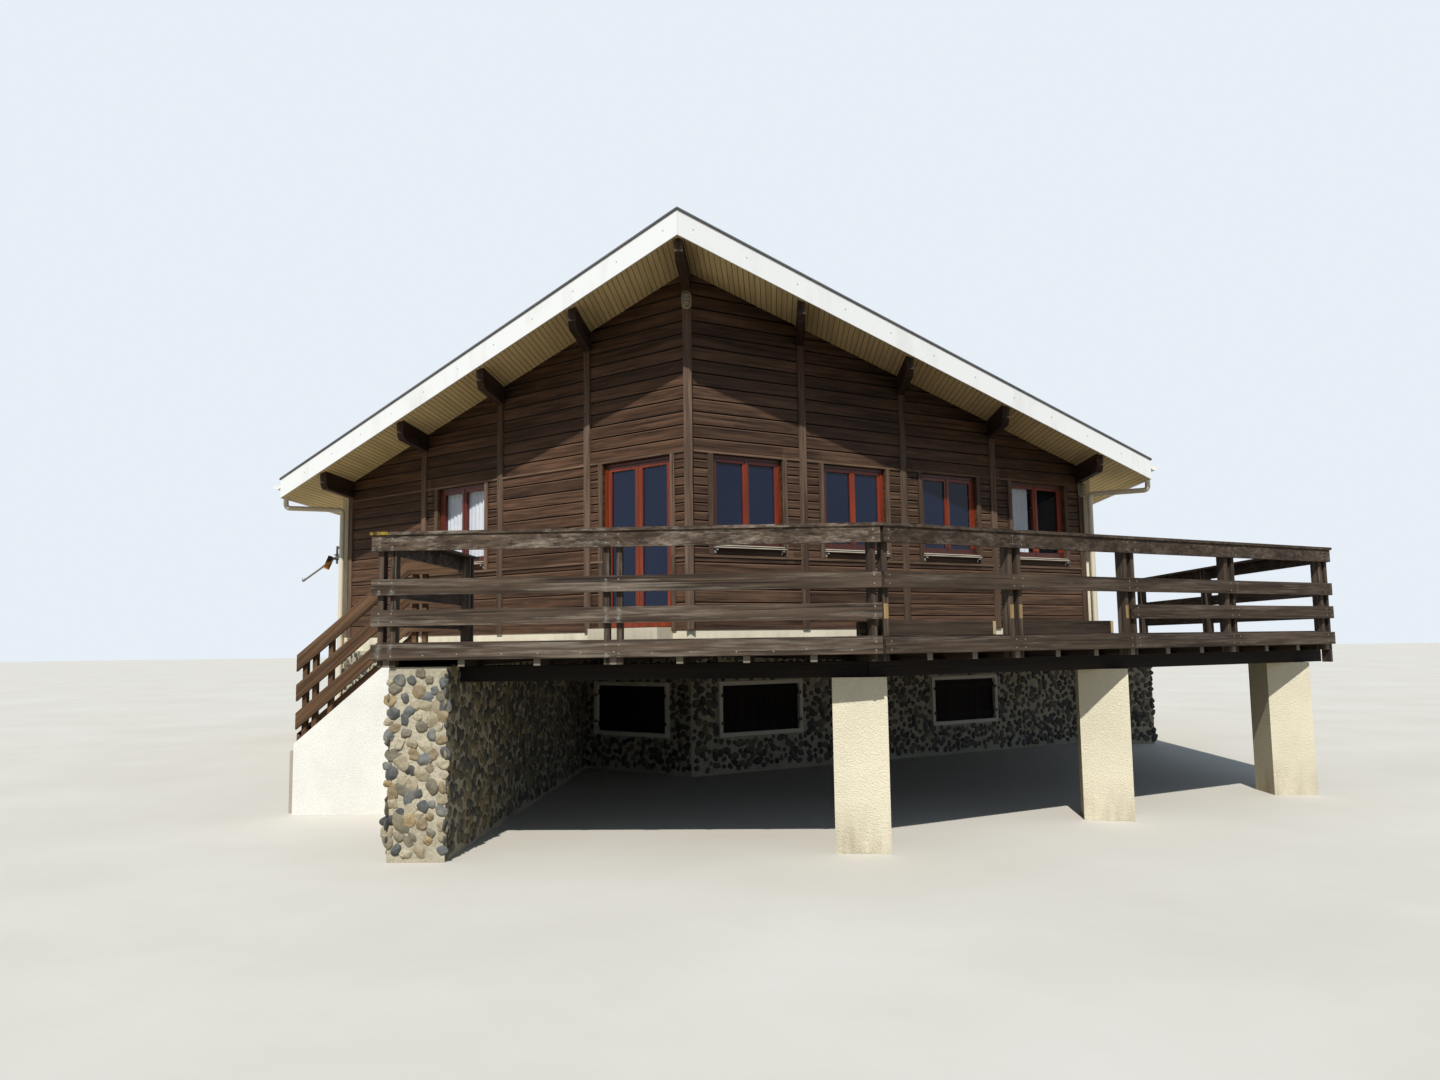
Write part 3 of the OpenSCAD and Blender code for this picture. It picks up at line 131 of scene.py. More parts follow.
def soffit_z(x):
    """Underside of the roof at x."""
    return SOFFIT_RIDGE - abs(x) * SLOPE


class BeachHouseSizes(bpy.types.PropertyGroup):
    """Sizes of the repeated details"""
    cladding_pitch: bpy.props.FloatProperty(name="Cladding board", description="Height of one wall board",
                                            default=0.17, min=0.1, max=0.25, unit="LENGTH")
    short_pitch: bpy.props.FloatProperty(name="Short board", description="Height of a board beside a window",
                                         default=0.112, min=0.08, max=0.2, unit="LENGTH")
    joint: bpy.props.FloatProperty(name="Board joint", description="Side of the bar that cuts a joint",
                                   default=0.021, min=0.004, max=0.03, unit="LENGTH")
    soffit_pitch: bpy.props.FloatProperty(name="Soffit board", description="Width of one soffit board",
                                          default=0.068, min=0.05, max=0.2, unit="LENGTH")
    deck_pitch: bpy.props.FloatProperty(name="Deck board", description="Width of one deck board with its gap",
                                        default=0.135, min=0.08, max=0.2, unit="LENGTH")
    deck_gap: bpy.props.FloatProperty(name="Deck gap", description="Gap between two deck boards",
                                      default=0.007, min=0.003, max=0.015, unit="LENGTH")
    shutter_pitch: bpy.props.FloatProperty(name="Shutter board", description="Width of one shutter board",
                                           default=0.093, min=0.06, max=0.15, unit="LENGTH")
    stone_spacing: bpy.props.FloatProperty(name="Stone spacing", default=0.071, min=0.05, max=0.15,
                                           description="Least distance between two stones", unit="LENGTH")
    stone_proud: bpy.props.FloatProperty(name="Stone height", default=0.018, min=0.008, max=0.04,
                                         description="How far a stone stands out", unit="LENGTH")
    edge_wear: bpy.props.FloatProperty(name="Edge wear", description="Radius of a timber's worn edges",
                                       default=0.004, min=0.001, max=0.008, unit="LENGTH")


def swatch(name, about, code):
    """Colour property with a web colour as its default."""
    return bpy.props.FloatVectorProperty(name=name, description=about, subtype="COLOR", size=3,
                                         min=0, max=1, default=rgb(code)[:3])


def rgb(code):
    """Linear colour of a web colour."""
    out = []
    for k in (0, 2, 4):
        c = int(code[k:k + 2], 16) / 255
        out.append(c / 12.92 if c <= 0.04045 else ((c + 0.055) / 1.055) ** 2.4)
    return (*out, 1.0)


class BeachHouseColours(bpy.types.PropertyGroup):
    """Base colours of the finishes"""
    cladding: swatch("Cladding", "Dark stain of the wall boards", "4d3a2d")
    posts: swatch("Posts", "Greyed stain of the posts", "5a483b")
    deck_wood: swatch("Deck wood", "Weathered wood of the deck and its rails", "473b31")
    mahogany: swatch("Mahogany", "Varnish of the windows and the door", "72290d")
    white_paint: swatch("White paint", "Paint of the roof's edge boards", "f3f3f0")
    soffit: swatch("Soffit", "Stain of the soffit boards", "ebd6a4")
    render: swatch("Render", "Cream roughcast", "f0e6cb")
    mortar: swatch("Mortar", "Mortar between the stones", "d0c6ad")
    felt: swatch("Felt", "Roof covering", "5b5c5f")
    # The glass colour is painted shade of the room and painted reflection of the sky.
    glass: swatch("Glass", "Window glass", "17223a")


def sizes():
    """The sizes that the panel shows."""
    return bpy.context.scene.beach_house_sizes


def colour(name):
    """One of the colours that the panel shows."""
    return (*getattr(bpy.context.scene.beach_house_colours, name), 1.0)


# Node building

class Nodes:
    """Adds nodes to a tree; an input may be a number, a socket or a node."""

    def __init__(self, tree):
        self.tree = tree

    def add(self, kind, inputs=None, **settings):
        """A node with its settings and inputs."""
        node = self.tree.nodes.new(kind)
        for key, value in settings.items():
            setattr(node, key, value)
        for key, value in (inputs or {}).items():
            self.feed(node.inputs[key], value)
        return node

    def feed(self, socket, value):
        """Links a socket, or sets its value."""
        if isinstance(value, bpy.types.Node):
            value = next(o for o in value.outputs if o.enabled)
        if isinstance(value, bpy.types.NodeSocket):
            self.tree.links.new(value, socket)
        else:
            socket.default_value = value

    def math(self, operation, a, b=0.0, clamp=False):
        return self.add("ShaderNodeMath", {0: a, 1: b}, operation=operation, use_clamp=clamp)


class Finish(Nodes):
    """One procedural material on Object coordinates or on a piece's own grain."""

    def __init__(self, name, roughness=0.7, **fixed):
        self.material = bpy.data.materials.new(name)
        self.material.use_nodes = True
        super().__init__(self.material.node_tree)
        self.shader = self.tree.nodes["Principled BSDF"]
        self.shader.inputs["Roughness"].default_value = roughness
        for key, value in fixed.items():
            self.shader.inputs[key.replace("_", " ")].default_value = value

    def point(self):
        """The place on the house."""
        return self.add("ShaderNodeTexCoord").outputs["Object"]

    def place(self, scale=(1, 1, 1), grain=False):
        """The place on the house or in a board's own wood, scaled."""
        if grain:
            source = self.add("ShaderNodeAttribute", attribute_name="grain").outputs["Vector"]
        else:
            source = self.point()
        return self.add("ShaderNodeMapping", {"Vector": source, "Scale": scale})

    def noise(self, vector, scale=1.0, detail=5.0, rough=0.55, twist=0.0):
        node = self.add("ShaderNodeTexNoise", {"Vector": vector, "Scale": scale, "Detail": detail,
                                               "Roughness": rough, "Distortion": twist})
        return node.outputs["Fac"]

    def ramp(self, factor, stops, smooth=True):
        node = self.add("ShaderNodeValToRGB", {"Fac": factor})
        node.color_ramp.interpolation = "LINEAR" if smooth else "CONSTANT"
        bar = node.color_ramp.elements
        while len(bar) < len(stops):
            bar.new(0.5)
        for element, (at, value) in zip(bar, stops):
            element.position = at
            element.color = value if not isinstance(value, (int, float)) else (value, value, value, 1)
        return node.outputs["Color"]

    def mix(self, factor, a, b, kind="MIX"):
        node = self.add("ShaderNodeMix", data_type="RGBA", blend_type=kind)
        for key, value in ((0, factor), (6, a), (7, b)):
            self.feed(node.inputs[key], value)
        return node.outputs[2]

    def attribute(self, name):
        return self.add("ShaderNodeAttribute", attribute_name=name).outputs["Fac"]

    def axes(self):
        """X, Y and Z of the place on the house."""
        return self.add("ShaderNodeSeparateXYZ", {0: self.point()}).outputs

    def height(self, z_low, z_high):
        """0 at z_low and 1 at z_high."""
        span = {"Value": self.axes()[2], "From Min": z_low, "From Max": z_high}
        return self.add("ShaderNodeMapRange", span).outputs[0]

    def along_edge(self):
        """Distance along the deck's right edge from its corner."""
        x, y, _ = self.axes()
        across, ahead = self.math("SUBTRACT", x, DECK_CORNER), self.math("ADD", y, DECK_FRONT + PLAN_MID)
        return self.math("ADD", self.math("MULTIPLY", across, math.cos(DECK_TURN)),
                         self.math("MULTIPLY", ahead, math.sin(DECK_TURN)))

    def near(self, value, places, width):
        """1 where a value is one of some places, and 0 from a width away."""
        best = 0.0
        for place in places:
            gap = self.math("ABSOLUTE", self.math("SUBTRACT", value, place))
            best = self.math("MAXIMUM", best, self.math("SUBTRACT", 1.0, self.math("DIVIDE", gap, width)))
        return best

    def distance(self, point):
        """Distance from a point of the house."""
        node = self.add("ShaderNodeVectorMath", {0: self.point(), 1: point}, operation="DISTANCE")
        return node.outputs["Value"]

    def done(self, base, bump=None, strength=0.3, distance=0.002, roughness=None):
        """Feeds the shader with a colour, a height and a roughness, and gives the material."""
        self.feed(self.shader.inputs["Base Color"], base)
        if bump is not None:
            node = self.add("ShaderNodeBump", {"Height": bump, "Strength": strength, "Distance": distance})
            self.feed(self.shader.inputs["Normal"], node.outputs["Normal"])
        if roughness is not None:
            self.feed(self.shader.inputs["Roughness"], roughness)
        return self.material


def shade(value, gain):
    """A colour made lighter or darker."""
    return (value[0] * gain, value[1] * gain, value[2] * gain, 1.0)


def wood(name, base, worn=None, worn_share=0.5, rough=0.72, cracks=0.5, joints=False, contrast=1.0,
         tones=(0.76, 1.22), marks=None, gloss=0.15, dark_side=0.06, pale_side=0.6):
    """Stained or weathered wood: streaks along the grain, a tone for each board, wear in long patches."""
    f = Finish(name, rough, Specular_IOR_Level=gloss)
    streaks = f.noise(f.place((1.4, 29, 29), grain=True), 1.0, 4, 0.6, 0.1)
    bands = f.noise(f.place((0.5, 9, 9), grain=True), 1.0, 3, 0.5, 0.1)
    both = f.math("ADD", f.math("MULTIPLY", streaks, 0.62), f.math("MULTIPLY", bands, 0.38))
    low, high = 1 - 0.46 * contrast, 1 + 0.5 * contrast
    skin = f.ramp(both, [(0.39, shade(base, low)), (0.50, base), (0.61, shade(base, high))])
    own = f.attribute("tone")
    tone = f.add("ShaderNodeMapRange", {"Value": own, "To Min": tones[0], "To Max": tones[1]}).outputs[0]
    grey = f.add("ShaderNodeCombineColor", {0: tone, 1: tone, 2: tone}).outputs[0]
    skin = f.mix(1.0, skin, grey, "MULTIPLY")
    if worn is not None:
        patch = f.noise(f.place((0.8, 10, 10), grain=True), 1.0, 5, 0.6, 0.12)
        fine = f.noise(f.place((2.4, 44, 44), grain=True), 1.0, 4, 0.7)
        mask = f.ramp(f.math("ADD", f.math("MULTIPLY", patch, 0.5), f.math("MULTIPLY", fine, 0.5)),
                      [(0.58 - 0.16 * worn_share, 0.0), (0.74 - 0.16 * worn_share, 0.85)])
        share = f.add("ShaderNodeMapRange", {"Value": own, "To Min": 0.35}).outputs[0]
        skin = f.mix(f.math("MULTIPLY", mask, share), skin, worn)
    if cracks:
        line = f.noise(f.place((0.7, 42, 42), grain=True), 1.0, 2, 0.4, 0.1)
        crack = f.ramp(line, [(0.63, 0.0), (0.68, cracks)])
        skin = f.mix(crack, skin, shade(base, 0.22))
    if marks:
        skin = marks(f, skin)
    if joints:
        # Joint faces marked 0.5 face the sky and are painted lighter as painted sky light; faces marked 1 are
        # painted dark, which on the wall boards is painted shade on the faces that look down.
        side = f.attribute("joint")
        pale = f.math("LESS_THAN", f.math("ABSOLUTE", f.math("SUBTRACT", side, 0.5)), 0.25)
        skin = f.mix(f.math("MULTIPLY", pale, pale_side), skin, shade(base, 2.1))
        skin = f.mix(f.math("GREATER_THAN", side, 0.75), skin, shade(base, dark_side))
    return f.done(skin, both, 0.45, 0.003, f.ramp(streaks, [(0.3, rough - 0.12), (0.7, rough + 0.12)]))


def roughcast(name, base, grain=150, stain_low=None, strength=0.7):
    """Thrown render: coarse grit, faint patches, and grime that rises from the foot."""
    f = Finish(name, 0.92, Specular_IOR_Level=0.2)
    grit = f.noise(f.place(), grain, 3, 0.6)
    cells = f.add("ShaderNodeTexVoronoi", {"Vector": f.place(), "Scale": grain * 0.7}).outputs["Distance"]
    patch = f.noise(f.place(), 1.7, 5, 0.6)
    skin = f.ramp(patch, [(0.3, shade(base, 0.88)), (0.6, base), (0.8, shade(base, 1.05))])
    skin = f.mix(f.ramp(grit, [(0.35, 0.35), (0.6, 0.0)]), skin, shade(base, 0.62))
    if stain_low is not None:
        foot, top = stain_low
        rise = f.math("SUBTRACT", 1.0, f.height(foot, top), True)
        streak = f.noise(f.place((2.2, 2.2, 0.5)), 2.0, 5, 0.65)
        mask = f.math("MULTIPLY", rise, f.ramp(streak, [(0.38, 0.0), (0.7, 0.75)]), True)
        skin = f.mix(mask, skin, rgb("8c7c62"))
    return f.done(skin, f.math("ADD", grit, f.math("MULTIPLY", cells, 0.6)), strength, 0.006)


def smooth_paint(name, base, rough=0.45, dirt=0.25, dirt_colour="8a8474", scale=2.4, **fixed):
    """Paint or metal with faint brush marks and thin dirt."""
    f = Finish(name, rough, **fixed)
    wash = f.noise(f.place((1, 1, 0.35)), scale, 6, 0.62)
    fine = f.noise(f.place(), 60, 3, 0.5)
    skin = f.ramp(fine, [(0.3, shade(base, 0.965)), (0.7, base)])
    skin = f.mix(f.ramp(wash, [(0.52, 0.0), (0.78, dirt)]), skin, rgb(dirt_colour))
    return f.done(skin, fine, 0.12, 0.001, f.ramp(wash, [(0.3, rough - 0.05), (0.8, rough + 0.15)]))


# Mesh building

def finished(name, mesh, material, body=HOUSE, replaces=(), smooth=None):
    """Puts a mesh in the scene as one piece that rides on a body."""
    piece = bpy.data.objects.new(name, mesh)
    bpy.context.scene.collection.objects.link(piece)
    mesh.materials.clear()
    mesh.materials.append(material)
    if smooth is not None:
        mesh.set_sharp_from_angle(angle=math.radians(smooth))
        mesh.polygons.foreach_set("use_smooth", [True] * len(mesh.polygons))
    mesh.update()
    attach(piece, body)
    if replaces:
        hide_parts(*replaces)
    return piece


def cad_mesh(*names):
    """Joined and merged copy of CAD nodes, with the split of flat faces taken out."""
    bm = bmesh.new()
    for name in names:
        bm.from_mesh(NODES[name].data)
    bmesh.ops.remove_doubles(bm, verts=bm.verts, dist=2e-5)
    bmesh.ops.dissolve_limit(bm, angle_limit=math.radians(0.4), verts=bm.verts, edges=bm.edges)
    return bm


def mesh_of(bm, name):
    """Turns mesh code's result into a mesh."""
    mesh = bpy.data.meshes.new(name)
    bm.to_mesh(mesh)
    bm.free()
    return mesh


def through_modifiers(mesh, *modifiers):
    """Applies modifiers, given as (type, settings), to a mesh and returns the result."""
    work = bpy.data.objects.new("work", mesh)
    bpy.context.scene.collection.objects.link(work)
    for kind, settings in modifiers:
        modifier = work.modifiers.new(kind.lower(), kind)
        for key, value in settings.items():
            if key.startswith("Socket_"):
                modifier[key] = value
            else:
                setattr(modifier, key, value)
    bpy.context.view_layer.update()
    result = bpy.data.meshes.new_from_object(work.evaluated_get(bpy.context.evaluated_depsgraph_get()))
    bpy.data.objects.remove(work)
    return result


def worn_edges(mesh, width, angle=30):
    """Rounds the sharp edges of a mesh."""
    return through_modifiers(mesh, ("BEVEL", {"width": width, "segments": 2, "limit_method": "ANGLE",
                                              "angle_limit": math.radians(angle), "use_clamp_overlap": True}))


def islands(mesh):
    """Vertex groups that hang together, as lists of indices."""
    links = list(range(len(mesh.vertices)))

    def root(i):
        while links[i] != i:
            links[i] = links[links[i]]
            i = links[i]
        return i

    for a, b in mesh.edge_keys:
        a, b = root(a), root(b)
        if a != b:
            links[a] = b
    found = {}
    for i in range(len(links)):
        found.setdefault(root(i), []).append(i)
    return list(found.values())


def long_axis(points):
    """Direction of the longest spread of some points."""
    middle = sum(points, Vector()) / len(points)
    spread = [[0.0] * 3 for _ in range(3)]
    for p in points:
        d = p - middle
        for i in range(3):
            for k in range(3):
                spread[i][k] += d[i] * d[k]
    spread = Matrix(spread)
    axis = Vector((0.5, 0.6, 0.7))
    for _ in range(60):
        axis = (spread @ axis).normalized()
    return axis


BOARD_LAYERS = (("grain", "FLOAT_VECTOR", "POINT"), ("tone", "FLOAT", "FACE"), ("joint", "FLOAT", "FACE"))


def layers(mesh, *wanted):
    """New attributes of a mesh, looked up once all of them are there."""
    for name, kind, domain in wanted:
        mesh.attributes.new(name, kind, domain)
    return [mesh.attributes[name] for name, _, _ in wanted]


def write_grain(mesh, seed=1, axis=None, tone_of=None, straight=Vector):
    """Gives every board of a mesh its own grain direction, place in the wood and tone.

    straight unbends a board that has a kink in it."""
    rng = random.Random(seed)
    grain, tone = layers(mesh, ("grain", "FLOAT_VECTOR", "POINT"), ("tone", "FLOAT", "POINT"))
    for group in islands(mesh):
        points = [straight(mesh.vertices[i].co) for i in group]
        u = Vector(axis) if axis else long_axis(points)
        side = Vector((0, 0, 1)) if abs(u.z) < 0.8 else Vector((1, 0, 0))
        w = u.cross(side).normalized()
        v = w.cross(u)
        shift = Vector((rng.uniform(0, 40), rng.uniform(0, 9), rng.uniform(0, 9)))
        value = rng.random()
        if tone_of:
            value = tone_of(sum(points, Vector()) / len(points), value)
        for i, p in zip(group, points):
            grain.data[i].vector = Vector((p.dot(u), p.dot(v), p.dot(w))) + shift
            tone.data[i].value = value


def timber(name, nodes, material, body=HOUSE, wear=None, axis=None, seed=1, tone_of=None,
           straight=Vector):
    """CAD timbers with worn edges and a grain of their own."""
    mesh = worn_edges(mesh_of(cad_mesh(*nodes), name), wear or sizes().edge_wear)
    mesh.name = name
    write_grain(mesh, seed, axis, tone_of, straight)
    return finished(name, mesh, material, body, nodes)


def repaint(name, material):
    """Gives a CAD node that stays its procedural material."""
    node = NODES[name]
    node.data.materials.clear()
    node.data.materials.append(material)


def box_mesh(bm, low, high, turn=None):
    """Adds a closed box between two corners, with an optional matrix."""
    corners = [Vector((x, y, z)) for x in (low[0], high[0]) for y in (low[1], high[1])
               for z in (low[2], high[2])]
    if turn is not None:
        corners = [turn @ c for c in corners]
    v = [bm.verts.new(c) for c in corners]
    for face in ((0, 1, 3, 2), (4, 6, 7, 5), (0, 4, 5, 1), (2, 3, 7, 6), (0, 2, 6, 4), (1, 5, 7, 3)):
        bm.faces.new([v[i] for i in face])


def prism(bm, outline, low, high):
    """Adds a closed upright prism over plan points."""
    top = [bm.verts.new((p[0], p[1], high)) for p in outline]
    foot = [bm.verts.new((p[0], p[1], low)) for p in outline]
    bm.faces.new(top)
    bm.faces.new(foot[::-1])
    count = len(outline)
    for i in range(count):
        k = (i + 1) % count
        bm.faces.new([foot[i], foot[k], top[k], top[i]])


def tube(bm, points, radius, sides=12, closed_ends=True):
    """Adds a round bar along points."""
    rings, first = [], None
    for i, p in enumerate(points):
        before = points[max(i - 1, 0)]
        after = points[min(i + 1, len(points) - 1)]
        axis = (after - before).normalized()
        first = (axis.orthogonal() if first is None else first - axis * first.dot(axis)).normalized()
        second = axis.cross(first)
        rings.append([bm.verts.new(p + radius * (math.cos(a) * first + math.sin(a) * second))
                      for a in (2 * math.pi * k / sides for k in range(sides))])
    for a, b in zip(rings, rings[1:]):
        for k in range(sides):
            m = (k + 1) % sides
            bm.faces.new([a[k], a[m], b[m], b[k]])
    if closed_ends:
        bm.faces.new(rings[0][::-1])
        bm.faces.new(rings[-1])


# Geometry Nodes for what repeats

def tree_with(name, sockets):
    """A tree with geometry in and out, and named inputs."""
    tree = bpy.data.node_groups.new(name, "GeometryNodeTree")
    tree.interface.new_socket("Geometry", in_out="INPUT", socket_type="NodeSocketGeometry")
    for label, kind, default in sockets:
        item = tree.interface.new_socket(label, in_out="INPUT", socket_type=kind)
        if default is not None:
            item.default_value = default
    tree.interface.new_socket("Geometry", in_out="OUTPUT", socket_type="NodeSocketGeometry")
    n = Nodes(tree)
    source = n.add("NodeGroupInput").outputs
    return tree, n, source


def close_tree(n, geometry, material):
    """Ends a tree in real geometry with its material."""
    real = n.add("GeometryNodeRealizeInstances", {0: geometry})
    dressed = n.add("GeometryNodeSetMaterial", {"Geometry": real, "Material": material})
    n.feed(n.add("NodeGroupOutput").inputs[0], dressed)


def joint_tree():
    """Cuts board joints: a bar on every point is taken out of the piece."""
    tree, n, given = tree_with("Cut board joints", [
        ("Piece", "NodeSocketObject", None), ("Joint Width", "NodeSocketFloat", 0.015),
        ("Joint Depth", "NodeSocketFloat", 0.015), ("Turn", "NodeSocketVector", None),
        ("Material", "NodeSocketMaterial", None)])
    size = n.add("ShaderNodeCombineXYZ", {0: 1.0, 1: given["Joint Width"], 2: given["Joint Depth"]})
    bar = n.add("GeometryNodeMeshCube", {"Size": size})
    reach = n.add("GeometryNodeInputNamedAttribute", {"Name": "reach"}, data_type="FLOAT")
    scale = n.add("ShaderNodeCombineXYZ", {0: reach, 1: 1.0, 2: 1.0})
    bars = n.add("GeometryNodeInstanceOnPoints", {
        "Points": given["Geometry"], "Instance": bar.outputs["Mesh"], "Rotation": given["Turn"],
        "Scale": scale})
    whole = n.add("GeometryNodeObjectInfo", {"Object": given["Piece"]}).outputs["Geometry"]
    merged = n.add("GeometryNodeMergeByDistance", {"Geometry": whole, "Distance": 2e-5})
    real = n.add("GeometryNodeRealizeInstances", {0: bars})
    cut = n.add("GeometryNodeMeshBoolean", {"Mesh 1": merged, "Mesh 2": real}, operation="DIFFERENCE",
                solver="EXACT")
    close_tree(n, cut.outputs["Mesh"], given["Material"])
    return tree


def stone_tree():
    """Presses flat river stones into a wall's skin."""
    tree, n, given = tree_with("Press stones", [
        ("Spacing", "NodeSocketFloat", 0.08), ("Radius", "NodeSocketFloat", 0.045),
        ("Proud", "NodeSocketFloat", 0.02), ("Detail", "NodeSocketInt", 2), ("Seed", "NodeSocketInt", 1),
        ("Material", "NodeSocketMaterial", None)])
    points = n.add("GeometryNodeDistributePointsOnFaces", {
        "Mesh": given["Geometry"], "Distance Min": given["Spacing"], "Density Max": 900.0,
        "Seed": given["Seed"]}, distribute_method="POISSON")

    def chance(low, high, salt):
        node = n.add("FunctionNodeRandomValue", data_type="FLOAT")
        for socket in node.inputs:
            if socket.enabled and socket.name in ("Min", "Max", "Seed"):
                n.feed(socket, {"Min": low, "Max": high, "Seed": salt}[socket.name])
        return next(o for o in node.outputs if o.enabled)

    spin = n.add("FunctionNodeRotateRotation", {
        "Rotation": points.outputs["Rotation"],
        "Rotate By": n.add("ShaderNodeCombineXYZ", {2: chance(0.0, 6.28, 3)})}, rotation_space="LOCAL")
    radius = n.math("MULTIPLY", given["Radius"], chance(0.66, 1.18, 5))
    scale = n.add("ShaderNodeCombineXYZ", {0: n.math("MULTIPLY", radius, chance(0.95, 1.5, 7)), 1: radius,
                                           2: n.math("MULTIPLY", given["Proud"], chance(0.6, 1.0, 9))})
    stone = n.add("GeometryNodeMeshIcoSphere", {"Radius": 1.0, "Subdivisions": given["Detail"]})
    laid = n.add("GeometryNodeInstanceOnPoints", {
        "Points": points.outputs["Points"], "Instance": stone.outputs["Mesh"], "Rotation": spin,
        "Scale": scale})
    toned = n.add("GeometryNodeStoreNamedAttribute", {
        "Geometry": laid, "Name": "tone", "Value": chance(0.0, 1.0, 11)}, data_type="FLOAT",
        domain="INSTANCE")
    real = n.add("GeometryNodeRealizeInstances", {0: toned})
    lumps = n.add("ShaderNodeTexNoise", {"Scale": 19.0, "Detail": 1.0})
    push = n.add("ShaderNodeVectorMath", {0: lumps.outputs["Color"], 1: (0.5, 0.5, 0.5)},
                 operation="SUBTRACT")
    offset = n.add("ShaderNodeVectorMath", {0: push.outputs[0], "Scale": 0.038}, operation="SCALE")
    moved = n.add("GeometryNodeSetPosition", {"Geometry": real, "Offset": offset.outputs[0]})
    close_tree(n, n.add("GeometryNodeSetShadeSmooth", {0: moved}), given["Material"])
    return tree


def repeat_tree():
    """Sets a small piece on every point, turned as the point says."""
    tree, n, given = tree_with("Repeat a piece", [("Piece", "NodeSocketObject", None),
                                                  ("Scale", "NodeSocketFloat", 1.0),
                                                  ("Material", "NodeSocketMaterial", None)])
    turn = n.add("GeometryNodeInputNamedAttribute", {"Name": "turn"}, data_type="FLOAT_VECTOR")
    whole = n.add("GeometryNodeObjectInfo", {"Object": given["Piece"]}).outputs["Geometry"]
    placed = n.add("GeometryNodeInstanceOnPoints", {"Points": given["Geometry"], "Instance": whole,
                                                    "Rotation": turn, "Scale": given["Scale"]})
    close_tree(n, placed, given["Material"])
    return tree


def run_tree(name, mesh, tree, **values):
    """Runs a tree on a mesh with its named inputs set, and returns the plain result."""
    known = {i.name.replace(" ", "_"): i.identifier for i in tree.interface.items_tree if i.in_out == "INPUT"}
    settings = {"node_group": tree}
    settings.update({known[key]: value for key, value in values.items()})
    result = through_modifiers(mesh, ("NODES", settings))
    result.name = name
    return result


def points_mesh(points, **attributes):
    """Mesh of loose points with attributes."""
    mesh = bpy.data.meshes.new("points")
    mesh.from_pydata([tuple(p) for p in points], [], [])
    for key, values in attributes.items():
        vector = isinstance(values[0], (tuple, Vector))
        layer, = layers(mesh, (key, "FLOAT_VECTOR" if vector else "FLOAT", "POINT"))
        for item, value in zip(layer.data, values):
            if vector:
                item.vector = value
            else:
                item.value = value
    return mesh


def stand_in(mesh):
    """Hidden carrier for a mesh that a tree reads."""
    carrier = bpy.data.objects.new("carrier", mesh)
    bpy.context.scene.collection.objects.link(carrier)
    return carrier


TREES = {}


def tree_for(kind):
    """One of the trees, built when it is first needed."""
    if kind not in TREES:
        TREES[kind] = {"joints": joint_tree, "stones": stone_tree, "repeat": repeat_tree}[kind]()
    return TREES[kind]


def cut_joints(name, mesh, bars, turn, material, width=None, depth=None):
    """Cuts bars, given as (point, length), out of a mesh."""
    carrier = stand_in(mesh)
    width = width or sizes().joint
    points = points_mesh([b[0] for b in bars], reach=[b[1] for b in bars])
    result = run_tree(name, points, tree_for("joints"), Piece=carrier, Joint_Width=width,
                      Joint_Depth=depth or width, Turn=turn, Material=material)
    bpy.data.objects.remove(carrier)
    return result


def repeated(name, piece_mesh, points, turns, material, body=HOUSE, smooth=35):
    """A small piece on every point, as one piece."""
    carrier = stand_in(piece_mesh)
    result = run_tree(name, points_mesh(points, turn=[tuple(t) for t in turns]), tree_for("repeat"),
                      Piece=carrier, Scale=1.0, Material=material)
    bpy.data.objects.remove(carrier)
    return finished(name, result, material, body, smooth=smooth)


# Stage

EYE, FOCAL_LENGTH, FILM_WIDTH = (1.077, -16.749, 1.65), 26.09, 36
YAW, PITCH, ROLL = math.radians(3.028), math.radians(5.581), math.radians(-0.800)
TOWARDS_SUN = Vector((-0.085, -1.0, 1.076))


def seen(n):
    """1 for what the camera sees, also in gloss and through glass, and 0 for other light."""
    rays = n.add("ShaderNodeLightPath").outputs
    return n.math("MAXIMUM", rays["Is Camera Ray"],
                  n.math("MAXIMUM", rays["Is Glossy Ray"], rays["Is Transmission Ray"]))


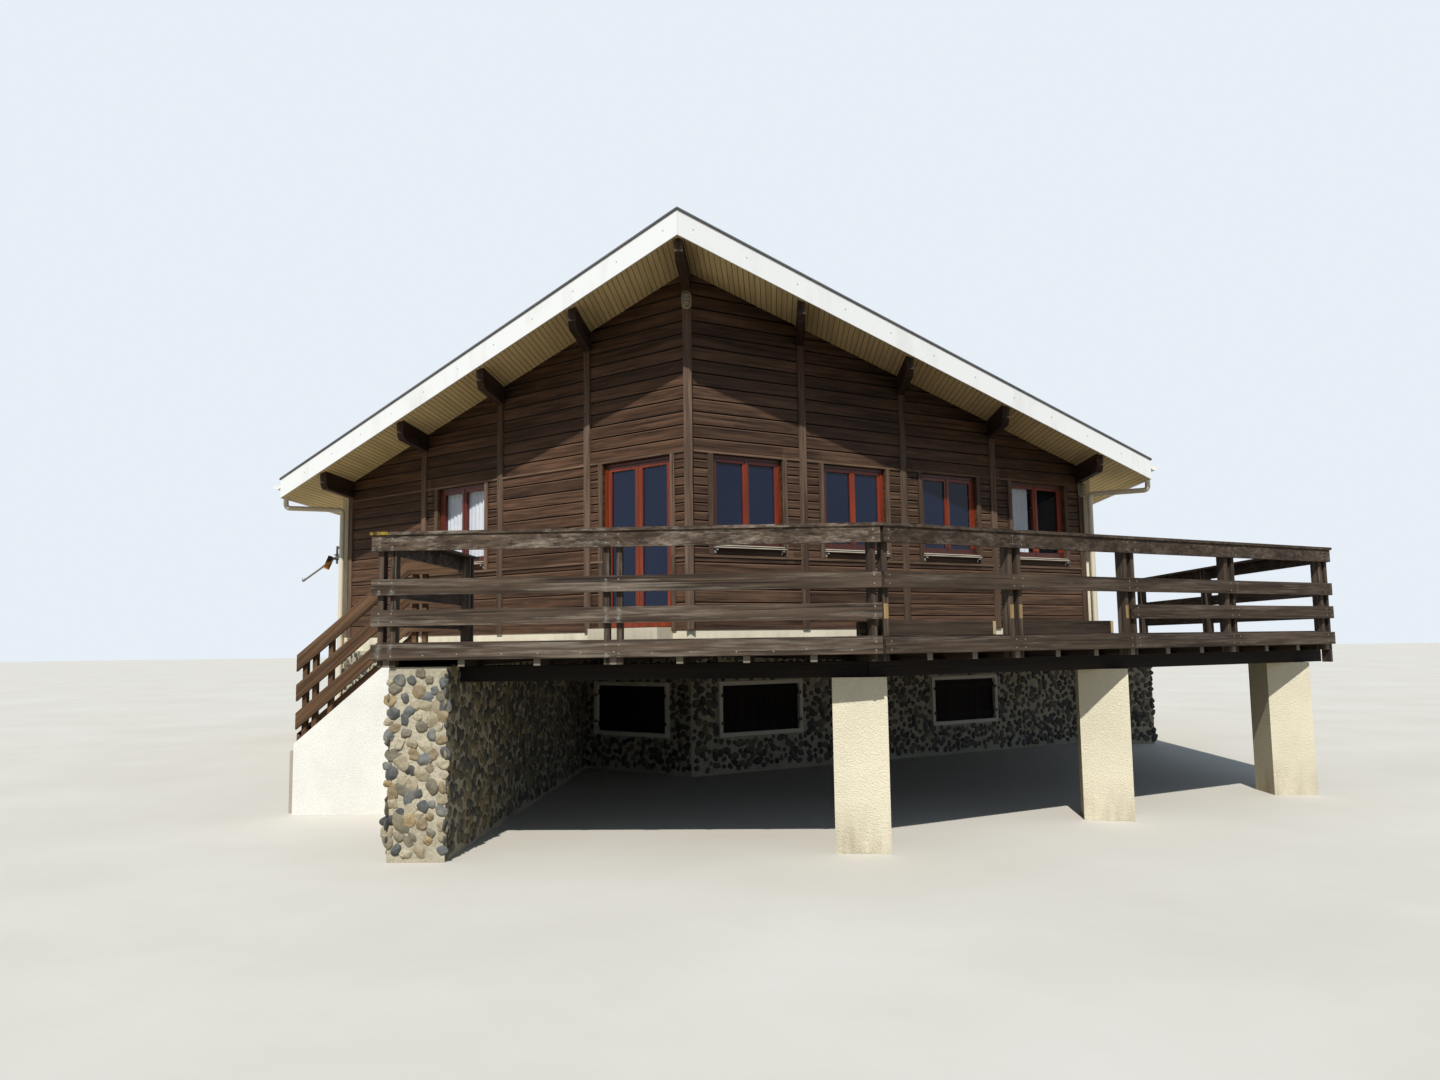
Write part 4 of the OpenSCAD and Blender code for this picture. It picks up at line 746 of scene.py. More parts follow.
def build_stage():
    """Camera, sun, sky and floor."""
    scene = bpy.context.scene
    scene.view_settings.view_transform = "Standard"
    ahead = Vector((-math.sin(YAW) * math.cos(PITCH), math.cos(YAW) * math.cos(PITCH), math.sin(PITCH)))
    right = Vector((math.cos(YAW), math.sin(YAW), 0))
    up = right.cross(ahead)
    right, up = (math.cos(ROLL) * right + math.sin(ROLL) * up, -math.sin(ROLL) * right + math.cos(ROLL) * up)
    lens = bpy.data.cameras.new("camera")
    lens.lens, lens.sensor_width, lens.sensor_fit = FOCAL_LENGTH, FILM_WIDTH, "HORIZONTAL"
    lens.clip_end = 400
    camera = bpy.data.objects.new("camera", lens)
    scene.collection.objects.link(camera)
    camera.matrix_world = Matrix.Translation(EYE) @ Matrix((right, up, -ahead)).transposed().to_4x4()
    scene.camera = camera

    sun = bpy.data.lights.new("sun", "SUN")
    sun.energy, sun.angle, sun.color = 3.9, math.radians(0.8), (1.0, 0.98, 0.945)
    lamp = bpy.data.objects.new("sun", sun)
    scene.collection.objects.link(lamp)
    lamp.rotation_euler = TOWARDS_SUN.to_track_quat("Z", "Y").to_euler()

    world = bpy.data.worlds.new("sky")
    scene.world = world
    world.use_nodes = True
    n = Nodes(world.node_tree)
    world.node_tree.nodes.clear()
    light = n.add("ShaderNodeBackground", {"Color": (0.60, 0.77, 1.0, 1), "Strength": 0.50})
    plain = n.add("ShaderNodeBackground", {"Color": (0.80, 0.86, 0.93, 1), "Strength": 1.0})
    both = n.add("ShaderNodeMixShader", {0: seen(n), 1: light, 2: plain})
    n.feed(n.add("ShaderNodeOutputWorld").inputs[0], both)

    f = Finish("floor_finish", 0.95)
    cloud = f.noise(f.place(), 0.35, 6, 0.6)
    grit = f.noise(f.place(), 26, 4, 0.6)
    # Pale to the camera, and darker for the light that it throws up
    pale = f.ramp(cloud, [(0.3, rgb("c8c2b5")), (0.7, rgb("d2cdc2"))])
    floor_skin = f.done(f.mix(seen(f), rgb("978c76"), pale), grit, 0.12, 0.004)
    bm = bmesh.new()
    reach = 150
    prism(bm, [(-reach, -reach), (reach, -reach), (reach, reach), (-reach, reach)], -0.3, -0.001)
    floor = bpy.data.objects.new("floor", mesh_of(bm, "floor"))
    scene.collection.objects.link(floor)
    floor.data.materials.append(floor_skin)


# Masonry

def skin_quad(bm, a, b, low, high):
    """Upright face from plan point a to b; the outside is on its right hand."""
    bm.faces.new([bm.verts.new((a[0], a[1], low)), bm.verts.new((b[0], b[1], low)),
                  bm.verts.new((b[0], b[1], high)), bm.verts.new((a[0], a[1], high))])


# Shares and tones of the river stones: dark ones in the walls, more pale and ochre ones in the stone pier
WALL_STONES = ((0.0, "4d4b46"), (0.20, "625d52"), (0.32, "393734"), (0.52, "6d5f47"), (0.60, "444240"),
               (0.80, "7d7666"), (0.86, "554b40"), (0.94, "2d2c2a"))
PIER_STONES = ((0.0, "6c6f6d"), (0.15, "a3977c"), (0.32, "545655"), (0.46, "b7ac92"), (0.58, "8f7d5f"),
               (0.68, "77705f"), (0.80, "8b816b"), (0.90, "a58e67"), (0.96, "434341"))
# Darker, greyer copies of the pier's tones for the pier's flanks: painted shade.
FLANK_STONES_SHADED = ((0.0, "5c5b53"), (0.2, "7d7560"), (0.36, "474640"), (0.56, "8b8068"), (0.68, "6b5f49"),
                (0.82, "56544c"), (0.92, "8f7f60"))


def stone_finish(name, tones):
    """River stones, each in one of some tones, with specks and clouds."""
    f = Finish(name, 0.62, Specular_IOR_Level=0.3)
    base = f.ramp(f.attribute("tone"), [(at, rgb(code)) for at, code in tones], smooth=False)
    speck = f.noise(f.place(), 55, 5, 0.65)
    cloud = f.noise(f.place(), 9, 3, 0.5)
    skin = f.mix(f.ramp(speck, [(0.35, 0.4), (0.6, 0.0)]), base, rgb("3a3733"))
    skin = f.mix(f.ramp(cloud, [(0.5, 0.0), (0.8, 0.3)]), skin, rgb("c4b79c"))
    return f.done(skin, speck, 0.25, 0.002)


def mortar_finish():
    """Coarse mortar with damp patches."""
    f = Finish("pebble_mortar", 0.93, Specular_IOR_Level=0.2)
    base = colour("mortar")
    lumps = f.noise(f.place(), 38, 5, 0.65)
    patch = f.noise(f.place(), 2.3, 5, 0.6)
    skin = f.ramp(patch, [(0.3, shade(base, 0.62)), (0.55, shade(base, 0.85)), (0.8, base)])
    skin = f.mix(f.ramp(lumps, [(0.32, 0.6), (0.55, 0.0)]), skin, shade(base, 0.42))
    return f.done(skin, lumps, 0.8, 0.012)


def front_skin(bm, side, holes):
    """Pebble faces of one basement front, round its windows."""
    t = -PEBBLE_PROUD
    gap = 0.035
    start = t * math.sin(FRONT_ANGLE) / math.cos(FRONT_ANGLE) + 0.03
    end = (BASEMENT_OUT + t * math.sin(FRONT_ANGLE)) / math.cos(FRONT_ANGLE) - 0.02
    stops = [start]
    for s, _ in holes:
        stops += [s - LOW_W / 2 - gap, s + LOW_W / 2 + gap]
    stops.append(end)

    def quad(a, b, low, high):
        ends = [on_front(side, a, t, 0), on_front(side, b, t, 0)]
        if side < 0:
            ends.reverse()
        skin_quad(bm, ends[0], ends[1], low, high)

    for k in range(0, len(stops), 2):
        quad(stops[k], stops[k + 1], STONES_FOOT, STONES_TOP)
    for k, (_, foot) in enumerate(holes):
        quad(stops[2 * k + 1], stops[2 * k + 2], STONES_FOOT, foot - gap)
        quad(stops[2 * k + 1], stops[2 * k + 2], foot + LOW_H + gap, STONES_TOP)


def build_masonry():
    """Mortar skins, and the stones pressed into them."""
    mortar = mortar_finish()
    wall_stones = stone_finish("wall_stones", WALL_STONES)
    pier_stones = stone_finish("pier_stones", PIER_STONES)
    for node in ("basement_front_left", "basement_front_right", "basement_side_walls", "basement_back_wall",
                 "stone_pier", "rear_pier"):
        repaint(node, mortar)
    repaint("basement_floor", roughcast("basement_screed", rgb("b9b2a2"), 60))
    spacing, proud = sizes().stone_spacing, sizes().stone_proud

    def press(name, bm, detail, seed, spacing_now, radius, stones=wall_stones):
        result = run_tree(name, mesh_of(bm, name), tree_for("stones"), Spacing=spacing_now, Radius=radius,
                          Proud=proud, Detail=detail, Seed=seed, Material=stones)
        finished(name, result, stones)

    for side, name in ((-1, "stones_front_left"), (1, "stones_front_right")):
        bm = bmesh.new()
        front_skin(bm, side, [(s, foot) for at, s, foot in LOW_WINDOWS if at == side])
        press(name, bm, 2, 3 + side, spacing, 0.043)
    low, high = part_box("basement_side_walls")
    near, far = PROW_DEPTH + 0.12 - PLAN_MID + 0.02, high.y - 0.02
    bm = bmesh.new()
    skin_quad(bm, (high.x, near), (high.x, far), STONES_FOOT, STONES_TOP)
    skin_quad(bm, (low.x, far), (low.x, near), STONES_FOOT, STONES_TOP)
    press("stones_sides", bm, 1, 11, spacing * 1.1, 0.047)
    low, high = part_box("basement_back_wall")
    bm = bmesh.new()
    skin_quad(bm, (BASEMENT_OUT - 0.02, high.y), (-BASEMENT_OUT + 0.02, high.y), STONES_FOOT, STONES_TOP)
    press("stones_back", bm, 1, 12, spacing * 1.1, 0.045)
    low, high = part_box("stone_pier")
    bm = bmesh.new()
    skin_quad(bm, (low.x, low.y), (high.x, low.y), STONES_FOOT, PIER_STONES_TOP)
    press("stones_pier", bm, 3, 21, spacing * 0.92, 0.046, pier_stones)
    left_end, right_end = (front_y(-x, -PEBBLE_PROUD) - PLAN_MID for x in (low.x, high.x))
    bm = bmesh.new()
    skin_quad(bm, (high.x, low.y), (high.x, right_end), STONES_FOOT, PIER_STONES_TOP)
    skin_quad(bm, (low.x, left_end), (low.x, low.y), STONES_FOOT, PIER_STONES_TOP)
    press("stones_pier_flanks", bm, 2, 23, spacing, 0.046, stone_finish("flank_stones", FLANK_STONES_SHADED))
    low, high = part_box("rear_pier")
    bm = bmesh.new()
    skin_quad(bm, (low.x, low.y), (high.x, low.y), STONES_FOOT, PIER_STONES_TOP)
    skin_quad(bm, (high.x, low.y), (high.x, high.y - 0.05), STONES_FOOT, PIER_STONES_TOP)
    skin_quad(bm, (low.x, front_y(low.x, -0.1) - PLAN_MID), (low.x, low.y), STONES_FOOT, PIER_STONES_TOP)
    press("stones_rear_pier", bm, 3, 22, spacing, 0.044)


def build_render():
    """Roughcast and concrete of the pieces that keep their mesh."""
    cream = colour("render")
    repaint("side_walls", roughcast("side_render", cream, 130, (1.8, 2.5), 0.6))
    repaint("floor_slab", roughcast("plinth_render", cream, 90, (1.58, 1.86), 0.35))
    repaint("deck_pillars", roughcast("pillar_roughcast", shade(cream, 0.97), 105, (0.0, 0.4), 1.0))
    repaint("stair_walls", roughcast("stair_roughcast", rgb("f6f4ec"), 110, None, 0.6))
    repaint("basement_window_surrounds", roughcast("surround_render", rgb("efe8d6"), 120, None, 0.2))
    repaint("door_step", roughcast("step_concrete", rgb("d2c8b0"), 70, (1.6, 1.9), 0.35))
    repaint("stair_steps", roughcast("stair_concrete", rgb("b8b0a0"), 70, (0.2, 1.2), 0.4))


# Cladding

def board_bars(s0, s1, low, high, pitch, phase=SLAB_TOP):
    """Joints of one panel, as its two ends and a height; none lies close to its foot or top."""
    row = math.floor((low - phase) / pitch) + 1
    bars = []
    while phase + row * pitch < high - 0.012:
        z = phase + row * pitch
        if z > low + 0.012:
            bars.append((s0, s1, z))
        row += 1
    return bars


def front_joints(side):
    """Joint bars of one front wall: long boards, and short boards beside the windows."""
    pitch, short = sizes().cladding_pitch, sizes().short_pitch
    bars = []
    for n, (s0, s1) in enumerate(BAYS):
        top = SOFFIT_RIDGE - min(abs(s0), abs(s1)) * math.cos(FRONT_ANGLE) * SLOPE
        has_door, has_window = side < 0 and n == 0, side > 0 or n == 2
        half = (DOOR_W if has_door else window_w(n)) / 2 + TRIM_W / 2
        beside = ((s0, bay_mid(n) - half), (bay_mid(n) + half, s1))
        if has_door:
            for a, b in beside:
                bars += board_bars(a, b, SLAB_TOP, BAND_Z, pitch)
                bars += board_bars(a, b, BAND_Z, HEAD_Z, short, BAND_Z)
        else:
            bars += board_bars(s0, s1, SLAB_TOP, BAND_Z, pitch)
            if has_window:
                for a, b in beside:
                    bars += board_bars(a, b, BAND_Z, HEAD_Z, short, BAND_Z)
            else:
                bars += board_bars(s0, s1, BAND_Z, HEAD_Z, pitch, BAND_Z)
        bars += board_bars(s0, s1, HEAD_Z, top, pitch, HEAD_Z)
    return bars


def write_boards(mesh, bars, along, seed):
    """Grain, tone and joint marks for joint-cut walls. along gives a point's place along the wall."""
    grain, tone, joint = layers(mesh, *BOARD_LAYERS)
    places = []
    for vertex in mesh.vertices:
        u, t = along(vertex.co)
        places.append((u, vertex.co.z))
        grain.data[vertex.index].vector = (u, vertex.co.z, t)
    panels = {}
    for s0, s1, z in bars:
        panels.setdefault((round(s0, 3), round(s1, 3)), []).append(z)
    spans = {key: sorted(value) for key, value in panels.items()}
    for face in mesh.polygons:
        u, t = along(face.center)
        z = face.center.z
        best = None
        for (s0, s1), zs in spans.items():
            if s0 - 0.03 <= u <= s1 + 0.03 and zs[0] - 0.2 <= z <= zs[-1] + 0.2:
                if best is None or s1 - s0 < best[0]:
                    best = (s1 - s0, sum(1 for k in zs if k < z), s0)
        row = best[1] if best else 0
        key = random.Random("%d %d %.2f" % (seed, row, best[2] if best else 0))
        tone.data[face.index].value = key.random()
        # The upper side of a joint, which looks down, is painted shade; the lower one, which faces the sky,
        # is painted lighter as painted sky light
        tilt = face.normal.z
        joint.data[face.index].value = 1.0 if -0.95 < tilt < -0.3 else 0.5 if 0.3 < tilt < 0.95 else 0.0


def warm_left(f, skin):
    """The boards of the left front are tinted warmer."""
    return f.mix(f.math("MULTIPLY", f.math("LESS_THAN", f.axes()[0], 0.0), 0.4), skin, (1.15, 0.97, 0.82, 1),
                 "MULTIPLY")


def build_cladding():
    """Board joints of the front walls and the back wall."""
    stain = wood("wall_boards", colour("cladding"), rgb("7a5f49"), 0.25, 0.68, 0.6, joints=True,
                 contrast=1.25, tones=(0.7, 1.26), marks=warm_left)
    for side, names in ((-1, ("door_bay_sides", "door_bay_head", "plain_bays", "left_window_bay")),
                        (1, ("right_window_bays_inner", "right_window_bays_outer"))):
        bars = front_joints(side)
        turn = (math.radians(45), 0.0, side * FRONT_ANGLE)
        name = "left_cladding" if side < 0 else "right_cladding"
        placed = [(on_front(side, (a + b) / 2, 0, z), b - a + 0.02) for a, b, z in bars]
        bm = bmesh.new()
        for node in names:
            piece = bmesh.new()
            piece.from_mesh(NODES[node].data)
            bm.from_mesh(cut_joints(node + "_cut", mesh_of(piece, node + "_copy"), placed, turn, stain))
        mesh = mesh_of(bm, name)

        def along(p, side=side):
            x, y = side * p.x, p.y + PLAN_MID
            c, s = math.cos(FRONT_ANGLE), math.sin(FRONT_ANGLE)
            return x * c + y * s, y * c - x * s

        write_boards(mesh, bars, along, 5 + side)
        finished(name, mesh, stain, replaces=names)
    bars = board_bars(-WALL_OUT + 0.2, WALL_OUT - 0.2, SLAB_TOP, SOFFIT_RIDGE, sizes().cladding_pitch)
    placed = [(house((a + b) / 2, BACK_Y, z), b - a) for a, b, z in bars]
    bm = bmesh.new()
    bm.from_mesh(NODES["back_wall"].data)
    mesh = cut_joints("back_cladding", mesh_of(bm, "back"), placed, (math.radians(45), 0.0, 0.0), stain)
    write_boards(mesh, bars, lambda p: (p.x, p.y), 9)
    finished("back_cladding", mesh, stain, replaces=("back_wall",))


def purlin_end_painted_light(f, skin):
    """The purlins' ends are painted lighter: painted sunlight on the end faces."""
    x, y, _ = f.axes()
    front = f.math("MULTIPLY", f.math("ABSOLUTE", x), math.tan(FRONT_ANGLE))
    behind = f.math("SUBTRACT", f.math("ADD", y, PLAN_MID + ROOF_FRONT), front)
    return f.mix(f.ramp(behind, [(0.05, 0.75), (0.13, 0.0)]), skin, rgb("8d7766"))


def build_posts():
    """Posts, purlins, wall rails and trims."""
    greyed = wood("post_stain", colour("posts"), rgb("7f7263"), 0.35, 0.75, 0.5)
    # The purlins' near-black stain is in part painted shade.
    brown = wood("purlin_stain", rgb("3b2d25"), rgb("544437"), 0.3, 0.74, 0.4, marks=purlin_end_painted_light)
    timber("posts", ("front_posts",), greyed, seed=31)
    timber("purlin_beams", ("purlins",), brown, seed=32)
    timber("wall_rails", ("band_rails",), wood("rail_stain", rgb("6a5442"), rgb("8a7866"), 0.4, 0.75, 0.4),
           wear=0.002, seed=33)
    timber("side_trims", ("window_trims",), greyed, wear=0.002, axis=(0, 0, 1), seed=34)


# Roof

def build_roof():
    """Soffit boards, white edge boards, felt and screws."""
    stain = wood("soffit_stain", colour("soffit"), rgb("c3ab7c"), 0.15, 0.62, 0.0, joints=True, contrast=0.22,
                 tones=(0.94, 1.05), dark_side=0.36)
    pitch = sizes().soffit_pitch
    bars, rows = [], []
    x = pitch
    while x < EAVE_HALF - BARGE_T - 0.03:
        rows.append(x)
        for side in (-1, 1):
            bars.append((house(side * x, (ROOF_BACK_Y + PROW_DEPTH) / 2 - 4, soffit_z(x) + SEAT), 26.0))
        x += pitch
    bm = bmesh.new()
    bm.from_mesh(NODES["roof_lining"].data)
    turn = (math.radians(45), 0, math.radians(90))
    mesh = cut_joints("soffit_boards", mesh_of(bm, "lining"), bars, turn, stain, 0.009, 0.009)
    grain, tone, joint = layers(mesh, *BOARD_LAYERS)
    for vertex in mesh.vertices:
        grain.data[vertex.index].vector = (vertex.co.y, vertex.co.x, vertex.co.z)
    for face in mesh.polygons:
        x, normal = face.center.x, face.normal
        key = random.Random("soffit %d %d" % (x > 0, int(abs(x) / pitch)))
        tone.data[face.index].value = key.random()
        flat = abs(normal.z) > math.cos(math.radians(19.5))
        joint.data[face.index].value = 0.0 if flat or abs(normal.y) > 0.2 else 1.0
    finished("soffit_boards", mesh, stain, replaces=("roof_lining",))
    white = smooth_paint("edge_board_paint", colour("white_paint"), 0.5, 0.22)
    mesh = worn_edges(mesh_of(cad_mesh("roof_edge_boards"), "edge"), 0.003)
    finished("edge_boards", mesh, white, replaces=("roof_edge_boards",))
    felt = Finish("roof_felt", 0.9)
    base = colour("felt")
    grit = felt.noise(felt.place(), 160, 4, 0.7)
    patch = felt.noise(felt.place((1, 0.25, 1)), 1.4, 5, 0.6)
    course = felt.add("ShaderNodeTexBrick", {
        "Vector": felt.place(), "Color1": shade(base, 0.85), "Color2": shade(base, 1.15),
        "Mortar": shade(base, 0.45), "Scale": 1.0, "Mortar Size": 0.006, "Brick Width": 9.0,
        "Row Height": 1.0}, offset=0.5)
    skin = felt.mix(felt.ramp(patch, [(0.35, 0.0), (0.75, 0.6)]), course.outputs["Color"], rgb("7d7c76"))
    skin = felt.mix(felt.ramp(grit, [(0.4, 0.5), (0.6, 0.0)]), skin, shade(base, 0.55))
    felt_skin = felt.done(skin, felt.math("SUBTRACT", grit, course.outputs["Fac"]), 0.5, 0.006)
    mesh = mesh_of(cad_mesh("roof_covering"), "covering")
    finished("roof_felt_sheets", worn_edges(mesh, 0.006), felt_skin, replaces=("roof_covering",))
    core = smooth_paint("roof_core_paint", rgb("9b9686"), 0.8, 0.3)
    repaint("roof_left", core)
    repaint("roof_right", core)
    build_edge_screws()


def dome(radius, height, sides=10):
    """Flat-backed head that faces up."""
    bm = bmesh.new()
    rings = [[bm.verts.new((r * math.cos(a), r * math.sin(a), z)) for a in
              (2 * math.pi * k / sides for k in range(sides))]
             for r, z in ((radius, -height), (radius, height * 0.35), (radius * 0.62, height))]
    for a, b in zip(rings, rings[1:]):
        for k in range(sides):
            m = (k + 1) % sides
            bm.faces.new([a[k], a[m], b[m], b[k]])
    bm.faces.new(rings[0][::-1])
    bm.faces.new(rings[-1])
    return mesh_of(bm, "head")


def build_edge_screws():
    """Screws along the middle of the white front boards, about every 0.6 m."""
    steel = smooth_paint("screw_metal", rgb("8f8a80"), 0.45, 0.4, Metallic=0.6)
    points, turns = [], []
    for side in (-1, 1):
        # The front boards stand parallel to the front walls and look away from them
        ahead = Vector((side * math.sin(FRONT_ANGLE), -math.cos(FRONT_ANGLE), 0))
        turn = ahead.to_track_quat("Z", "Y").to_euler()
        x = 0.18
        while x < EAVE_HALF - 0.1:
            points.append(house(side * x, front_y(x) - ROOF_FRONT, soffit_z(x) + ROOF_OVER / 2))
            turns.append(turn)
            x += 0.62
    repeated("edge_board_screws", dome(0.009, 0.003), points, turns, steel)


# Windows

def glass_finish():
    """Glass, clearer in the two windows with a curtain; in the others it is nearly opaque, and its dark blue
    is painted shade of the room behind and painted reflection of the sky.
    """
    f = Finish("window_glass", 0.03, IOR=1.5, Specular_IOR_Level=0.28)
    side = f.near(f.axes()[0], (-3.67, 5.22), 0.75)
    # Away from the curtains the glass is nearly opaque, so that its dark blue stands as painted shade of the
    # room.
    f.feed(f.shader.inputs["Alpha"], f.ramp(side, [(0.0, 0.85), (0.05, 0.08)]))
    dust = f.noise(f.place((1, 1, 0.4)), 1.3, 3, 0.5)
    base = colour("glass")
    return f.done(f.ramp(dust, [(0.35, shade(base, 0.85)), (0.8, shade(base, 1.2))]))


def curtain_sheet(side, n, share):
    """Pleated curtain that hangs inside a window; returns its mesh and its flat width and length."""
    frame_w, hem = 0.045, 0.012
    start = bay_mid(n) - window_w(n) / 2 + frame_w + 0.01
    width = (window_w(n) - 2 * frame_w) * share - 0.02
    foot = WINDOW_Z + frame_w + 0.008
    length = WINDOW_H - 1.5 * frame_w - hem
    # Depth of the folds' middle behind the wall's face
    middle = 0.1353
    pleats = round(width / 0.085)
    columns, rows = pleats * 12, 16
    bm = bmesh.new()
    grid = []
    flat = 0.0
    last = None
    for j in range(rows + 1):
        down = j / rows
        row = []
        for i in range(columns + 1):
            share_s = i / columns
            deep = 0.0125 * (0.55 + 0.45 * down) + 0.0022 * math.sin(7 * share_s + 2.1 * down)
            turn = 2 * math.pi * pleats * share_s + 0.5 * math.sin(4 * share_s + 3 * down)
            s = start + width * share_s
            t = middle + deep * math.sin(turn) * (0.82 + 0.18 * math.sin(11 * share_s))
            z = foot + length * (1 - down) - 0.0015 * (1 + math.sin(turn)) * down
            p = on_front(side, s, t, z)
            row.append(bm.verts.new(p))
            if j == rows // 2:
                if last is not None:
                    flat += (p - last).length
                last = p
        grid.append(row)
    uv = bm.loops.layers.uv.new("cloth")
    for j in range(rows):
        for i in range(columns):
            face = bm.faces.new([grid[j][i], grid[j][i + 1], grid[j + 1][i + 1], grid[j + 1][i]])
            for loop, (a, b) in zip(face.loops, ((i, j), (i + 1, j), (i + 1, j + 1), (i, j + 1))):
                loop[uv].uv = (a / columns * flat, (1 - b / rows) * length)
    bmesh.ops.recalc_face_normals(bm, faces=bm.faces)
    return mesh_of(bm, "curtain"), flat, length


def cloth_finish():
    """White cotton with a fine weave."""
    f = Finish("curtain_cotton", 0.9, Sheen_Weight=0.25)
    uv = f.add("ShaderNodeUVMap", uv_map="cloth")
    threads = {"Vector": uv, "Scale": 160.0, "Distortion": 0.4}
    across = f.add("ShaderNodeTexWave", threads, bands_direction="X")
    along = f.add("ShaderNodeTexWave", threads, bands_direction="Y")
    weave = f.math("MULTIPLY", across.outputs["Fac"], along.outputs["Fac"])
    soft = f.noise(f.place(), 6, 4, 0.5)
    skin = f.ramp(soft, [(0.3, rgb("e3e9f2")), (0.7, rgb("f6f8fb"))])
    skin = f.mix(f.ramp(weave, [(0.1, 0.12), (0.6, 0.0)]), skin, rgb("9fb0c8"))
    return f.done(skin, weave, 0.3, 0.001)


def painted_frame_shade(f, skin):
    """Painted shade on the varnish: dark under the head boards, behind the sills, at the right front's left
    jambs and over the left window.
    """
    top = f.ramp(f.height(FRAME_TOP - 0.085, FRAME_TOP - 0.045), [(0.0, 0.0), (1.0, 0.75)])
    x, y, z = f.axes()
    beside_door = f.math("ADD", f.math("GREATER_THAN", x, 0.0), f.math("LESS_THAN", x, -2.0))
    foot = f.math("MULTIPLY", f.ramp(f.height(WINDOW_Z + 0.125, WINDOW_Z + 0.105), [(0.0, 0.0), (1.0, 0.8)]),
                  f.math("MULTIPLY", beside_door, f.math("GREATER_THAN", z, WINDOW_Z - 0.01)))
    far_left = f.math("MULTIPLY", f.math("LESS_THAN", x, -2.0), 0.5)
    along = f.math("ADD", f.math("MULTIPLY", x, math.cos(FRONT_ANGLE)),
                   f.math("MULTIPLY", f.math("ADD", y, PLAN_MID), math.sin(FRONT_ANGLE)))
    jamb = f.near(along, [bay_mid(n) - window_w(n) / 2 + 0.03 for n in range(4)], 0.09)
    jamb = f.math("MULTIPLY", f.ramp(jamb, [(0.1, 0.0), (0.4, 0.75)]), f.math("GREATER_THAN", x, 0.0))
    dark = f.math("MAXIMUM", f.math("MAXIMUM", top, far_left), f.math("MAXIMUM", foot, jamb))
    return f.mix(dark, skin, rgb("2a1411"))


def sill_finish():
    """Pale paint, with a painted shadow: a dark line across the middle of the board's front edge."""
    low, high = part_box("window_sills")
    f = Finish("sill_paint", 0.6)
    wash = f.noise(f.place((1, 1, 0.35)), 2.4, 6, 0.62)
    skin = f.ramp(wash, [(0.4, rgb("c9bfab")), (0.75, rgb("a39a88"))])
    shadow_line = f.math("ABSOLUTE", f.math("SUBTRACT", f.height(low.z, high.z), 0.45))
    return f.done(f.mix(f.ramp(shadow_line, [(0.12, 0.9), (0.2, 0.0)]), skin, rgb("2c2622")), wash, 0.1, 0.001)


def window_varnish():
    """Varnish that the windows and the door share, made once."""
    return bpy.data.materials.get("window_varnish") or wood(
        "window_varnish", colour("mahogany"), rgb("94400f"), 0.4, 0.4, 0.15, contrast=0.8,
        tones=(0.85, 1.15), marks=painted_frame_shade, gloss=0.4)


def build_windows():
    """Casements, glass, sills and curtains."""
    timber("window_casements", ("window_frames",), window_varnish(), wear=0.003,
           axis=(0, 0, 1), seed=41)
    glass = glass_finish()
    for node in ("window_panes", "left_door_pane", "right_door_pane"):
        repaint(node, glass)
    sill = sill_finish()
    mesh = worn_edges(mesh_of(cad_mesh("window_sills"), "sills"), 0.003)
    finished("window_sill_boards", mesh, sill, replaces=("window_sills",))
    cloth = cloth_finish()
    for side, n, share, name in ((-1, 2, 1.0, "left_curtain"), (1, 3, 0.42, "right_curtain")):
        mesh, flat, length = curtain_sheet(side, n, share)
        mesh = through_modifiers(mesh, ("SOLIDIFY", {"thickness": 0.0016, "offset": 0.0}))
        piece = finished(name, mesh, cloth, smooth=80)
        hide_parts("curtains")
    build_sill_brackets()


def build_sill_brackets():
    """Small pale brackets at the ends of every front sill."""
    metal = smooth_paint("sill_bracket_paint", rgb("b9b5aa"), 0.5, 0.4)
    bm = bmesh.new()
    box_mesh(bm, (-0.013, -0.052, -0.075), (0.013, 0.002, -0.063))
    box_mesh(bm, (-0.013, -0.004, -0.11), (0.013, 0.002, -0.063))
    box_mesh(bm, (-0.013, -0.052, -0.075), (-0.009, 0.002, -0.05))
    box_mesh(bm, (0.009, -0.052, -0.075), (0.013, 0.002, -0.05))
    bracket = worn_edges(mesh_of(bm, "bracket"), 0.001)
    points, turns = [], []
    for side, n in ((-1, 2), (1, 0), (1, 1), (1, 2), (1, 3)):
        for end in (-1, 1):
            s = bay_mid(n) + end * (window_w(n) / 2 - 0.03)
            points.append(on_front(side, s, -0.004, WINDOW_Z + 0.01))
            turns.append((0, 0, side * FRONT_ANGLE))
    repeated("sill_brackets", bracket, points, turns, metal)


def build_door():
    """Frame and leaves of the door."""
    varnish = window_varnish()
    timber("door_surround", ("door_frame",), varnish, wear=0.0015, axis=(0, 0, 1), seed=51)
    timber("left_leaf_boards", ("left_door_leaf",), varnish, LEFT_LEAF, 0.003, (0, 0, 1), 52)
    timber("right_leaf_boards", ("right_door_leaf",), varnish, RIGHT_LEAF, 0.003, (0, 0, 1), 53)


